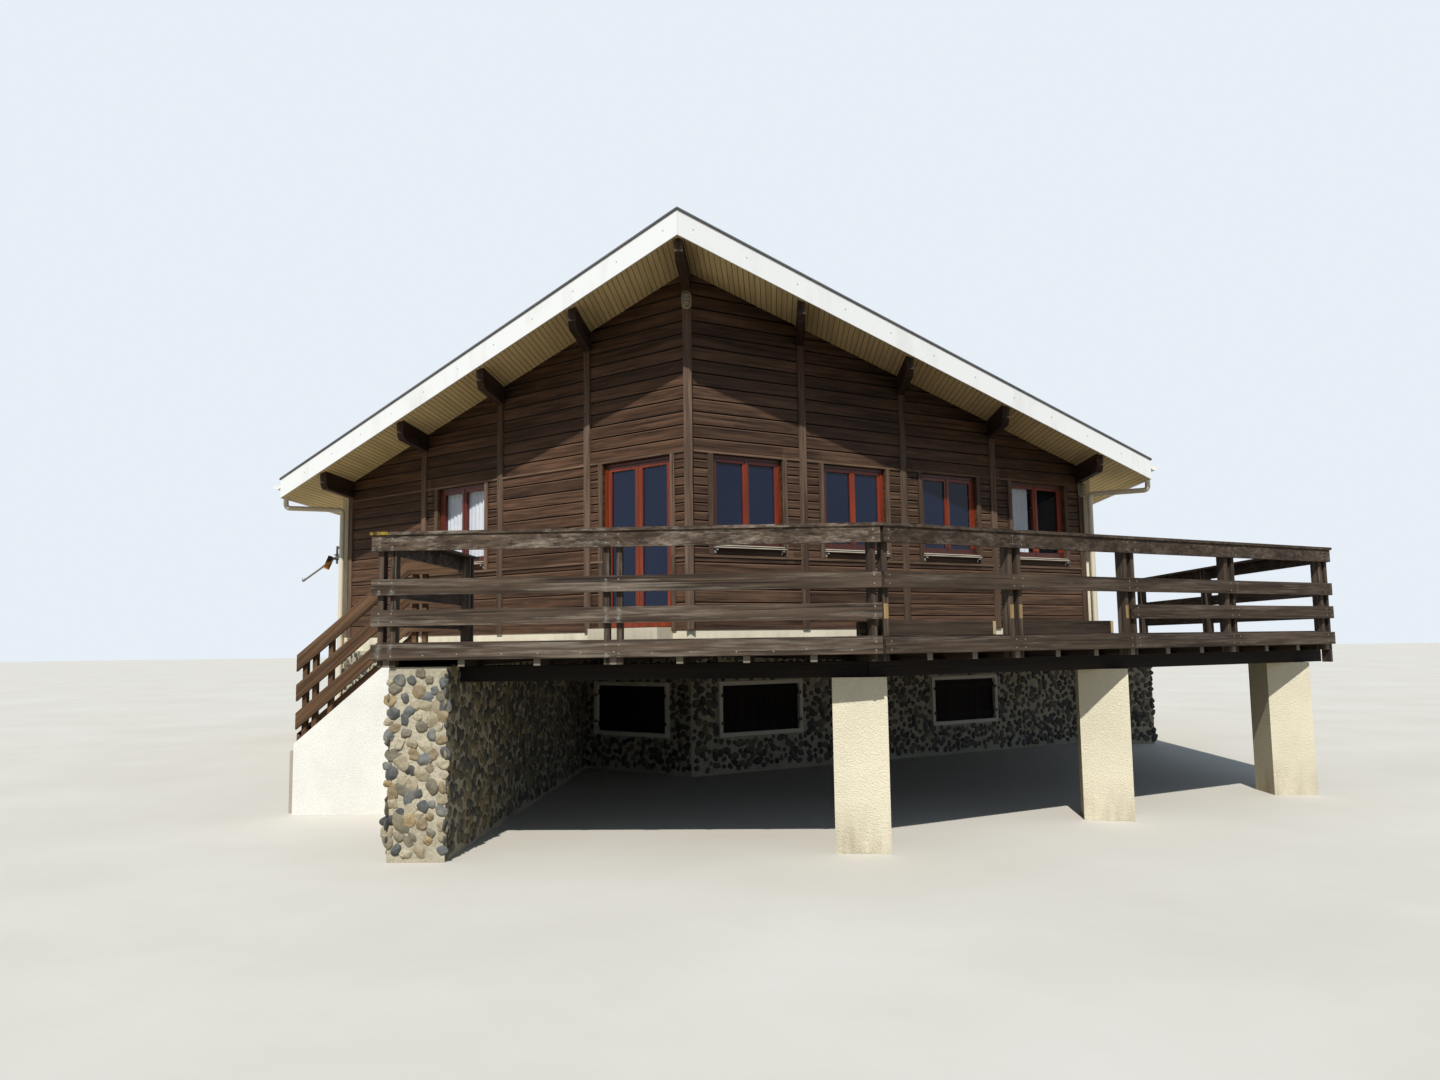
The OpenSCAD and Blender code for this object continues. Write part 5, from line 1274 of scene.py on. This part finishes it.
def build_low_windows():
    """Boards and hinges of the basement shutters."""
    dark = wood("shutter_stain", rgb("221b18"), rgb("3a302a"), 0.25, 0.8, 0.5, joints=True)
    inner = LOW_W - 2 * SURROUND_W
    count = round(inner / sizes().shutter_pitch)
    bm = bmesh.new()
    bm.from_mesh(NODES["basement_shutters"].data)
    mesh = mesh_of(bm, "shutters")
    for side in (-1, 1):
        bars = []
        for k_side, s, foot in LOW_WINDOWS:
            if k_side == side:
                bars += [(on_front(side, s - inner / 2 + inner * k / count, 0, foot + LOW_H / 2), LOW_H)
                         for k in range(1, count)]
        # The bars stand upright, turned to the wall
        turn = (Matrix.Rotation(side * FRONT_ANGLE, 3, "Z") @ Matrix.Rotation(math.radians(90), 3, "Y")
                @ Matrix.Rotation(math.radians(45), 3, "X")).to_euler()
        mesh = cut_joints("shutter_boards", mesh, bars, tuple(turn), dark, 0.009, 0.009)
    grain, tone, joint = layers(mesh, *BOARD_LAYERS)
    for vertex in mesh.vertices:
        grain.data[vertex.index].vector = (vertex.co.z, vertex.co.x, vertex.co.y)
    for face in mesh.polygons:
        tone.data[face.index].value = random.Random(int(face.center.x * 10.7)).random()
        joint.data[face.index].value = 0.0
    finished("shutter_boards", mesh, dark, replaces=("basement_shutters",))
    iron = smooth_paint("hinge_iron", rgb("2b2724"), 0.6, 0.4, Metallic=0.5)
    bm = bmesh.new()
    box_mesh(bm, (-0.03, -0.052, -0.02), (0.03, -0.046, 0.02))
    box_mesh(bm, (-0.008, -0.066, -0.02), (0.008, -0.050, 0.02))
    strap = worn_edges(mesh_of(bm, "hinge"), 0.0015)
    points, turns = [], []
    for side, s, foot in LOW_WINDOWS:
        for end in (-1, 1):
            for z in (0.17, 0.52):
                points.append(on_front(side, s + end * (LOW_W / 2 - 0.035), 0, foot + z))
                turns.append((0, 0, side * FRONT_ANGLE))
    repeated("shutter_hinges", strap, points, turns, iron)


# Deck

def run_tone(middle, value):
    """The boards of the left front are greyer than the dark ones of the right."""
    if middle.x > DECK_CORNER - 0.3:
        return 0.3 * value
    return 1.05 + 0.15 * value if middle.z > RAIL_FEET[3] else 0.5 + 0.5 * value


def pair_halves(pairs):
    """Places of the two halves of some post pairs."""
    return [place + half for place in pairs for half in (-PAIR_HALF, PAIR_HALF)]


def rail_marks(f, skin):
    """Bleached spots round the nails at the posts, and lichen on the left end of the cap."""
    x, _, z = f.axes()
    on_left = f.math("LESS_THAN", x, DECK_CORNER)
    left = f.near(x, [*pair_halves(LEFT_PAIRS), CORNER_HALVES[0]], 0.085)
    right = f.near(f.along_edge(), [CORNER_HALVES[1], *pair_halves(RIGHT_PAIRS)], 0.06)
    spots = f.math("ADD", f.math("MULTIPLY", left, on_left),
                   f.math("MULTIPLY", right, f.math("MULTIPLY", f.math("SUBTRACT", 1.0, on_left), 0.75)))
    blotch = f.math("MULTIPLY", f.noise(f.place((1, 1, 2.4)), 19, 6, 0.75),
                    f.ramp(f.noise(f.place((1, 1, 2)), 3.1, 2, 0.5), [(0.40, 0.55), (0.60, 1.1)]))
    skin = f.mix(f.ramp(f.math("MULTIPLY", spots, blotch), [(0.36, 0.0), (0.64, 0.42)]), skin, rgb("9d9c94"))
    tuft = house(-DECK_LEFT + 0.05, -DECK_FRONT, RAIL_TOP)
    on_cap = f.math("MULTIPLY", f.math("LESS_THAN", f.distance(tuft), 0.11),
                    f.math("GREATER_THAN", z, RAIL_TOP - 0.024))
    lichen = f.math("MULTIPLY", on_cap, f.ramp(f.noise(f.place(), 34, 4, 0.6), [(0.46, 0.0), (0.52, 0.9)]))
    return f.mix(lichen, skin, rgb("9c8218"))


def across_deck(f):
    """Distance from the deck's front edges."""
    x, y, _ = f.axes()
    ahead = f.math("ADD", y, DECK_FRONT + PLAN_MID)
    turned = f.math("SUBTRACT", f.math("MULTIPLY", ahead, math.cos(DECK_TURN)),
                    f.math("MULTIPLY", f.math("SUBTRACT", x, DECK_CORNER), math.sin(DECK_TURN)))
    return f.math("MINIMUM", ahead, turned)


def joist_end_painted_light(f, skin):
    """The joists are dark, in part painted shade, and their end grain behind the fascia is painted lighter,
    as painted sunlight.
    """
    return f.mix(f.math("LESS_THAN", across_deck(f), BOARD_T + 0.006), skin, rgb("7f776b"))


def plank_underside_painted_shade(f, skin):
    """The deck boards are painted dark from a little under their tops down to their undersides: painted shade
    in the gaps and under the boards.
    """
    depth = f.height(DECK_TOP - 0.006, DECK_TOP - 0.016)
    return f.mix(f.ramp(depth, [(0.0, 0.0), (1.0, 0.85)]), skin, rgb("1f1a16"))


def deck_finish(name, marks=None):
    """Weathered wood that the deck and its rails share, made once under each name."""
    return bpy.data.materials.get(name) or wood(
        name, colour("deck_wood"), worn=rgb("948a7c"), worn_share=0.5, rough=0.78, cracks=0.7,
        contrast=1.15, tones=(0.8, 1.25), marks=marks)


def build_deck():
    """Beams, joists, fascias and planks of the deck."""
    nailed = deck_finish("rail_wood", rail_marks)
    # The beam's near-black colour is in part painted shade.
    dark = wood("beam_wood", rgb("231e1b"), rgb("3a332e"), 0.2, 0.8, 0.5)
    sawn = wood("joist_wood", rgb("362d26"), rgb("544a40"), 0.2, 0.8, 0.5, marks=joist_end_painted_light)
    plank = deck_finish("plank_wood", plank_underside_painted_shade)
    timber("main_beams", ("deck_beams",), dark, wear=0.006, seed=61)
    timber("joists", ("deck_joists",), sawn, seed=62)
    timber("fascia_boards", ("deck_fascias",), nailed, wear=0.006, seed=63,
           tone_of=run_tone)
    board_in = BOARD_T + SEAT
    top, under = DECK_TOP, DECK_TOP - PLANK_T
    mitre = (DECK_CORNER - board_in * math.tan(DECK_TURN / 2), -DECK_FRONT + board_in)
    inset = 0.012 - SEAT
    left = [(-DECK_LEFT + board_in, -DECK_FRONT + board_in), mitre, (0, front_y(0, inset)),
            (-DECK_LEFT + board_in, front_y(DECK_LEFT - board_in, inset))]
    end_x, end_y = DECK_RIGHT - board_in, -DECK_FRONT + (DECK_RIGHT - DECK_CORNER) * math.tan(DECK_TURN)
    right = [mitre, (end_x, end_y + board_in / math.cos(DECK_TURN) - board_in * math.tan(DECK_TURN)),
             (end_x, front_y(end_x, inset)), (0, front_y(0, inset))]
    pitch, gap = sizes().deck_pitch, sizes().deck_gap
    middle = top - PLANK_T / 2
    left_gaps = [(house(0, -DECK_FRONT + BOARD_T + pitch * k, middle), 9.0) for k in range(1, 52)]
    right_gaps = [(on_edge(3.0, BOARD_T + pitch * k, middle), 22.0) for k in range(1, 68)]
    bm_all = bmesh.new()
    for outline, gaps, turn in ((left, left_gaps, 0.0), (right, right_gaps, DECK_TURN)):
        bm = bmesh.new()
        prism(bm, [house(p[0], p[1], 0) for p in outline], under, top)
        mesh = cut_joints("field", mesh_of(bm, "field"), gaps, (0.0, 0.0, turn), plank, gap, 0.06)
        bm_all.from_mesh(mesh)
    mesh = worn_edges(mesh_of(bm_all, "boards"), 0.002)
    mesh.name = "deck_planks"
    write_grain(mesh, 64)
    if "reach" in mesh.attributes:
        mesh.attributes.remove(mesh.attributes["reach"])
    finished("deck_planks", mesh, plank, replaces=("deck_boards",))


def fresh_ends(f, skin):
    """Pale wood where the torn-off boards broke."""
    share = f.near(f.along_edge(), [end - 0.018 for end in LOOSE_ENDS], 0.02)
    return f.mix(f.ramp(share, [(0.0, 0.0), (0.08, 1.0)]), skin, rgb("bfa67c"))


def build_fresh_patches():
    """Pale wood on the post halves that the missing low board covered until it was torn off."""
    pale = wood("fresh_wood", rgb("9c8259"), rgb("6f6557"), 0.6, 0.75, 0.6, contrast=1.0)
    bm = bmesh.new()
    low, high = RAIL_FEET[1] + 0.004, RAIL_FEET[1] + BOARD_H - 0.006
    inner, outer = PAIR_HALF - HALF_W_POST / 2 + 0.003, PAIR_HALF + HALF_W_POST / 2 - 0.003
    for s, halves in ((RIGHT_PAIRS[0], (-1, 1)), (RIGHT_PAIRS[1], (-1,))):
        for half in halves:
            a, b = sorted((s + half * inner, s + half * outer))
            prism(bm, [on_edge(a, BOARD_T - 0.001, 0), on_edge(b, BOARD_T - 0.001, 0),
                       on_edge(b, BOARD_T + 0.0002, 0), on_edge(a, BOARD_T + 0.0002, 0)], low, high)
    # The corner pair stands square to the joint of the two fields
    turn = math.atan2(DECK_CORNER, DECK_FRONT)
    back = (BOARD_T + SEAT) / math.cos(turn) + (PAIR_HALF + HALF_W_POST / 2) * math.tan(turn)
    corner = Matrix.Translation(house(DECK_CORNER, -DECK_FRONT, 0)) @ Matrix.Rotation(turn, 4, "Z")
    near, far = back - 0.0012, back - 0.0001
    plan = ((inner, near), (outer, near), (outer, far), (inner, far))
    prism(bm, [corner @ Vector((x, y, 0)) for x, y in plan], low, high)
    mesh = mesh_of(bm, "fresh_wood_patches")
    write_grain(mesh, 74, (0, 0, 1))
    finished("fresh_wood_patches", mesh, pale)


def build_rails():
    """Rails, post halves, torn-off boards and nails."""
    grey, nailed = deck_finish("deck_wood"), deck_finish("rail_wood", rail_marks)
    timber("rail_boards", ("rails",), nailed, wear=0.006, seed=71, tone_of=run_tone)
    timber("rail_post_halves", ("rail_posts",), grey, axis=(0, 0, 1), seed=72,
           tone_of=run_tone)
    broken = wood("torn_off_wood", rgb("41362d"), rgb("6d6358"), 0.3, 0.8, 0.6, contrast=1.1,
                  marks=fresh_ends)
    timber("torn_off_boards", ("loose_boards",), broken, wear=0.006, seed=73)
    build_fresh_patches()
    # Two nails in every board at every half post, from the outside
    nail = smooth_paint("nail_heads", rgb("8c877d"), 0.5, 0.5, "6b5a48", Metallic=0.4)
    points, turns = [], []

    def nails(place, turn, low_missing=False):
        for z in RAIL_FEET:
            if low_missing and z == RAIL_FEET[1]:
                continue
            for over in (0.03, 0.095):
                points.append(place(z + over))
                turns.append(turn)

    front = Vector((0, -1, 0)).to_track_quat("Z", "Y").to_euler()
    edge = (Matrix.Rotation(DECK_TURN, 3, "Z") @ Vector((0, -1, 0))).to_track_quat("Z", "Y").to_euler()
    for x in (*pair_halves(LEFT_PAIRS), CORNER_HALVES[0]):
        nails(lambda z, x=x: house(x, -DECK_FRONT, z), front)
    for s in (CORNER_HALVES[1], *pair_halves(RIGHT_PAIRS)):
        nails(lambda z, s=s: on_edge(s, 0, z), edge, low_missing=s < RIGHT_PAIRS[1])
    # One nail at the foot of the fascia for every joist
    rng = random.Random(75)
    x = -DECK_LEFT + 0.42
    while x < DECK_CORNER - 0.2:
        points.append(house(x + rng.uniform(-0.04, 0.04), -DECK_FRONT,
                            RAIL_FEET[0] + rng.uniform(0.025, 0.045)))
        turns.append(front)
        x += 0.3
    repeated("rail_nails", dome(0.006, 0.0022, 8), points, turns, nail)


def level_run(p):
    """A point of the stair's rails with the slope below the landing taken out."""
    return Vector((p.x, p.y, p.z - STAIR_SLOPE * min(p.x - LANDING_X, 0.0)))


def build_stair():
    """Rails of the stair."""
    brown = wood("stair_wood", rgb("5a4330"), rgb("8a7359"), 0.35, 0.76, 0.5, contrast=1.1, tones=(0.85, 1.2))
    timber("stair_rail_boards", ("stair_rails",), brown, wear=0.005, seed=81,
           straight=level_run)


def build_gutters():
    """Gutters, downpipes and the gutters' brackets."""
    white = smooth_paint("gutter_enamel", rgb("e9e7e1"), 0.35, 0.35)
    beige = smooth_paint("pipe_paint", rgb("dccfb5"), 0.4, 0.35)
    finished("gutter_troughs", mesh_of(cad_mesh("gutters"), "gutters"), white, smooth=35,
             replaces=("gutters",))
    finished("rain_pipes", mesh_of(cad_mesh("downpipes"), "pipes"), beige, smooth=35,
             replaces=("downpipes",))
    low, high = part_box("gutters")
    radius = 0.065
    bm = bmesh.new()
    turns = [math.pi + math.pi * k / 12 for k in range(13)]
    reach = [radius - 0.0002 - 0.0035 * math.sin(a) for a in turns]
    arc = [Vector((r * math.cos(a), 0, r * math.sin(a))) for r, a in zip(reach, turns)]
    inner = [p * ((radius - 0.005) / p.length) for p in arc]
    rings = [[bm.verts.new(p + Vector((0, y, 0))) for p in arc + inner[::-1]] for y in (-0.012, 0.012)]
    count = len(rings[0])
    for k in range(count):
        m = (k + 1) % count
        bm.faces.new([rings[0][k], rings[0][m], rings[1][m], rings[1][k]])
    half = len(arc)
    for k in range(half - 1):
        for ring, flip in ((rings[0], False), (rings[1], True)):
            face = [ring[k], ring[k + 1], ring[count - 2 - k], ring[count - 1 - k]]
            bm.faces.new(face if flip else face[::-1])
    bmesh.ops.recalc_face_normals(bm, faces=bm.faces)
    bracket = mesh_of(bm, "bracket")
    points, turns = [], []
    x = EAVE_HALF + radius + SEAT
    for side in (-1, 1):
        y = low.y + 0.35
        while y < high.y - 0.1:
            points.append(Vector((side * x, y, high.z)))
            turns.append((0.0, 0.0, 0.0))
            y += 0.8
    repeated("gutter_brackets", bracket, points, turns, white)


def oval_ring(width, height, y, count=40):
    """Points of an upright oval in a lamp's own frame, y out of the wall."""
    rise = (height - width) / 2
    points = []
    for k in range(count):
        a = 2 * math.pi * k / count
        z = math.sin(a) * width / 2 + (rise if math.sin(a) > 0.001 else -rise if math.sin(a) < -0.001 else 0)
        points.append(Vector((math.cos(a) * width / 2, y, z)))
    return points


def build_lamps():
    """Bulkhead lamps, and the wall bracket with its fittings."""
    body = smooth_paint("lamp_casting", rgb("a8a084"), 0.5, 0.5)
    f = Finish("lamp_glass", 0.22, IOR=1.45)
    ribs = f.add("ShaderNodeTexWave", {"Vector": f.place(), "Scale": 22.0}, bands_direction="Z")
    cloud = f.noise(f.place(), 30, 4, 0.6)
    milk = f.ramp(cloud, [(0.3, rgb("5d5743")), (0.7, rgb("8d866c"))])
    milk = f.done(milk, ribs.outputs["Fac"], 0.5, 0.003)
    low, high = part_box("lamps")
    lamps = [(house(0, -0.040, high.z - 0.1125), 0.0),
             (on_front(1, FRONT_LEN - POST_W / 2, -POST_PROUD, low.z + 0.1125), FRONT_ANGLE)]
    bm_body, bm_glass = bmesh.new(), bmesh.new()
    for at, angle in lamps:
        turn = Matrix.Translation(at) @ Matrix.Rotation(angle, 4, "Z")

        def loft(bm, rings):
            made = [[bm.verts.new(turn @ p) for p in ring] for ring in rings]
            for a, b in zip(made, made[1:]):
                for k in range(len(a)):
                    m = (k + 1) % len(a)
                    bm.faces.new([a[k], a[m], b[m], b[k]])
            bm.faces.new(made[0][::-1])
            bm.faces.new(made[-1])

        loft(bm_body, [oval_ring(0.128, 0.225, 0.0), oval_ring(0.128, 0.225, -0.016),
                       oval_ring(0.120, 0.217, -0.023), oval_ring(0.108, 0.205, -0.024)])
        loft(bm_glass, [oval_ring(0.104, 0.200, -0.022), oval_ring(0.102, 0.198, -0.045),
                        oval_ring(0.092, 0.186, -0.064), oval_ring(0.070, 0.160, -0.075),
                        oval_ring(0.036, 0.120, -0.079)])
        # Guard: one hoop round the glass and three bars over it
        hoop = [turn @ p for p in oval_ring(0.112, 0.208, -0.050)]
        tube(bm_body, hoop + hoop[:1], 0.0028, 8, False)
        for z in (-0.05, 0.0, 0.05):
            bar = [Vector((0.058 * math.cos(a), -0.030 - 0.0515 * math.sin(a), z))
                   for a in (math.pi * k / 12 for k in range(13))]
            tube(bm_body, [turn @ p for p in bar], 0.0028, 8)
    for bm in (bm_body, bm_glass):
        bmesh.ops.remove_doubles(bm, verts=bm.verts, dist=1e-6)
        bmesh.ops.recalc_face_normals(bm, faces=bm.faces)
    piece = finished("lamp_castings", mesh_of(bm_body, "castings"), body, smooth=40)
    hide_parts("lamps")
    finished("lamp_glasses", mesh_of(bm_glass, "glasses"), milk, smooth=60)
    steel = smooth_paint("bracket_steel", rgb("85827c"), 0.4, 0.35, "6a4a34", Metallic=0.35)
    mesh = worn_edges(mesh_of(cad_mesh("wall_bracket"), "bracket"), 0.002, 50)
    finished("bracket_arm", mesh, steel, smooth=35, replaces=("wall_bracket",))
    build_bracket_mount(steel)


def build_bracket_mount(steel):
    """Upright tube on its stub, bolted clamp and rusty tilt plates on the side wall's bracket."""
    iron = smooth_paint("bracket_metal", rgb("4d4842"), 0.5, 0.5, "7a4a2c", Metallic=0.6)
    bar_x, bar_z, y = -WALL_OUT - 0.008 - 0.142, 3.180, PROW_DEPTH + 0.250
    slope = math.radians(125)
    along = Vector((-math.sin(slope), 0, math.cos(slope)))
    bm = bmesh.new()
    foot = house(bar_x + 0.012, y, bar_z)
    tube(bm, [foot + Vector((0, 0, z)) for z in (-0.115, 0.185)], 0.019, 14)
    tube(bm, [foot + Vector((x, 0, 0.160)) for x in (0.0, -WALL_OUT - foot.x)], 0.022, 14)
    end = house(bar_x, y, bar_z) + along * 0.694
    tube(bm, [end + Vector((0, s, 0)) for s in (-0.035, 0.035)], 0.010, 10)
    for s in (-0.032, 0.032):
        tube(bm, [end + Vector((0, s, 0)), end + Vector((0.004, s, 0.05))], 0.006, 8)
    finished("bracket_tubes", mesh_of(bm, "tubes"), steel, smooth=35)
    bm = bmesh.new()
    for z in (-0.045, 0.028):
        box_mesh(bm, (-0.045, -0.026, z), (0.06, 0.026, z + 0.017), Matrix.Translation(foot))
    for x in (-0.02, 0.045):
        tube(bm, [foot + Vector((x, 0, z)) for z in (-0.062, 0.062)], 0.005, 8)
    finished("bracket_clamp", mesh_of(bm, "clamp"), iron, smooth=35)
    rust = Finish("rusty_plates", 0.8, Specular_IOR_Level=0.2)
    blotch = rust.noise(rust.place(), 17, 5, 0.65)
    low = rust.ramp(blotch, [(0.35, rgb("7a4a22")), (0.5, rgb("b07a38")), (0.7, rgb("c69a58"))])
    high = rust.ramp(blotch, [(0.4, rgb("2a1712")), (0.65, rgb("5c2f1d"))])
    skin = rust.mix(rust.ramp(rust.height(bar_z - 0.14, bar_z - 0.02), [(0.42, 0.0), (0.58, 1.0)]), low, high)
    skin = rust.done(skin, blotch, 0.5, 0.003)
    bm = bmesh.new()
    middle = house(bar_x, y, bar_z) + along * 0.16
    turn = Matrix.Translation(middle) @ Matrix.Rotation(math.radians(24), 4, "Y")
    for s in (-0.034, 0.028):
        box_mesh(bm, (-0.042, s, -0.115), (0.042, s + 0.006, 0.115), turn)
    box_mesh(bm, (-0.030, -0.0279, -0.075), (0.030, 0.0279, -0.066), turn)
    box_mesh(bm, (-0.030, -0.0279, 0.060), (0.030, 0.0279, 0.069), turn)
    finished("bracket_tilt_plates", worn_edges(mesh_of(bm, "plates"), 0.0015), skin)


# Operators

class BEACHHOUSE_OT_stage(bpy.types.Operator):
    """Set the camera, the light, the sky and the floor"""
    bl_idname = "beach_house.stage"
    bl_label = "Stage"
    bl_options = {"REGISTER", "UNDO"}

    def execute(self, context):
        build_stage()
        return {"FINISHED"}


class BEACHHOUSE_OT_masonry(bpy.types.Operator):
    """Press the river stones into the basement and the piers"""
    bl_idname = "beach_house.masonry"
    bl_label = "Masonry"
    bl_options = {"REGISTER", "UNDO"}

    def execute(self, context):
        build_masonry()
        return {"FINISHED"}


class BEACHHOUSE_OT_render(bpy.types.Operator):
    """Finish the rendered walls, pillars, plinth and steps"""
    bl_idname = "beach_house.render"
    bl_label = "Render and concrete"
    bl_options = {"REGISTER", "UNDO"}

    def execute(self, context):
        build_render()
        return {"FINISHED"}


class BEACHHOUSE_OT_cladding(bpy.types.Operator):
    """Cut the board joints of the timber walls"""
    bl_idname = "beach_house.cladding"
    bl_label = "Cladding"
    bl_options = {"REGISTER", "UNDO"}

    def execute(self, context):
        build_cladding()
        return {"FINISHED"}


class BEACHHOUSE_OT_posts(bpy.types.Operator):
    """Wear the edges of the posts, purlins, rails and trims"""
    bl_idname = "beach_house.posts"
    bl_label = "Posts and purlins"
    bl_options = {"REGISTER", "UNDO"}

    def execute(self, context):
        build_posts()
        return {"FINISHED"}


class BEACHHOUSE_OT_roof(bpy.types.Operator):
    """Board the soffit, paint the edge boards and lay the felt"""
    bl_idname = "beach_house.roof"
    bl_label = "Roof"
    bl_options = {"REGISTER", "UNDO"}

    def execute(self, context):
        build_roof()
        return {"FINISHED"}


class BEACHHOUSE_OT_windows(bpy.types.Operator):
    """Finish casements and glass, and hang the curtains"""
    bl_idname = "beach_house.windows"
    bl_label = "Windows"
    bl_options = {"REGISTER", "UNDO"}

    def execute(self, context):
        build_windows()
        return {"FINISHED"}


class BEACHHOUSE_OT_door(bpy.types.Operator):
    """Finish the door's frame and its leaves"""
    bl_idname = "beach_house.door"
    bl_label = "Door"
    bl_options = {"REGISTER", "UNDO"}

    def execute(self, context):
        build_door()
        return {"FINISHED"}


class BEACHHOUSE_OT_low_windows(bpy.types.Operator):
    """Cut the shutter boards and set their hinges"""
    bl_idname = "beach_house.low_windows"
    bl_label = "Basement windows"
    bl_options = {"REGISTER", "UNDO"}

    def execute(self, context):
        build_low_windows()
        return {"FINISHED"}


class BEACHHOUSE_OT_deck(bpy.types.Operator):
    """Lay the deck boards on their joists and beams"""
    bl_idname = "beach_house.deck"
    bl_label = "Deck"
    bl_options = {"REGISTER", "UNDO"}

    def execute(self, context):
        build_deck()
        return {"FINISHED"}


class BEACHHOUSE_OT_rails(bpy.types.Operator):
    """Weather the rails and posts, and drive the nails"""
    bl_idname = "beach_house.rails"
    bl_label = "Rails"
    bl_options = {"REGISTER", "UNDO"}

    def execute(self, context):
        build_rails()
        return {"FINISHED"}


class BEACHHOUSE_OT_stair(bpy.types.Operator):
    """Weather the stair's rails"""
    bl_idname = "beach_house.stair"
    bl_label = "Stair"
    bl_options = {"REGISTER", "UNDO"}

    def execute(self, context):
        build_stair()
        return {"FINISHED"}


class BEACHHOUSE_OT_gutters(bpy.types.Operator):
    """Finish gutters and downpipes, and set the gutter brackets"""
    bl_idname = "beach_house.gutters"
    bl_label = "Gutters"
    bl_options = {"REGISTER", "UNDO"}

    def execute(self, context):
        build_gutters()
        return {"FINISHED"}


class BEACHHOUSE_OT_lamps(bpy.types.Operator):
    """Build the bulkhead lamps and finish the wall bracket"""
    bl_idname = "beach_house.lamps"
    bl_label = "Lamps and bracket"
    bl_options = {"REGISTER", "UNDO"}

    def execute(self, context):
        build_lamps()
        return {"FINISHED"}


OPERATORS = [BEACHHOUSE_OT_stage, BEACHHOUSE_OT_masonry, BEACHHOUSE_OT_render,
             BEACHHOUSE_OT_cladding, BEACHHOUSE_OT_posts, BEACHHOUSE_OT_roof,
             BEACHHOUSE_OT_windows, BEACHHOUSE_OT_door, BEACHHOUSE_OT_low_windows,
             BEACHHOUSE_OT_deck, BEACHHOUSE_OT_rails, BEACHHOUSE_OT_stair,
             BEACHHOUSE_OT_gutters, BEACHHOUSE_OT_lamps]


class BEACHHOUSE_PT_panel(bpy.types.Panel):
    """Sizes, colours and building steps of the beach house"""
    bl_label = "Beach house"
    bl_idname = "BEACHHOUSE_PT_panel"
    bl_space_type = "VIEW_3D"
    bl_region_type = "UI"
    bl_category = "Beach house"

    def draw(self, context):
        for group in (context.scene.beach_house_sizes, context.scene.beach_house_colours):
            column = self.layout.column(align=True)
            for key in group.__annotations__:
                column.prop(group, key)
        for operator in OPERATORS:
            self.layout.operator(operator.bl_idname)


CLASSES = [BeachHouseSizes, BeachHouseColours, *OPERATORS, BEACHHOUSE_PT_panel]


def register():
    for item in CLASSES:
        bpy.utils.register_class(item)
    bpy.types.Scene.beach_house_sizes = bpy.props.PointerProperty(type=BeachHouseSizes)
    bpy.types.Scene.beach_house_colours = bpy.props.PointerProperty(type=BeachHouseColours)


def unregister():
    del bpy.types.Scene.beach_house_colours
    del bpy.types.Scene.beach_house_sizes
    for item in reversed(CLASSES):
        bpy.utils.unregister_class(item)


def main():
    register()
    bpy.ops.beach_house.stage()
    bpy.ops.beach_house.masonry()
    bpy.ops.beach_house.render()
    bpy.ops.beach_house.cladding()
    bpy.ops.beach_house.posts()
    bpy.ops.beach_house.roof()
    bpy.ops.beach_house.windows()
    bpy.ops.beach_house.door()
    bpy.ops.beach_house.low_windows()
    bpy.ops.beach_house.deck()
    bpy.ops.beach_house.rails()
    bpy.ops.beach_house.stair()
    bpy.ops.beach_house.gutters()
    bpy.ops.beach_house.lamps()


if __name__ == "__main__":
    main()
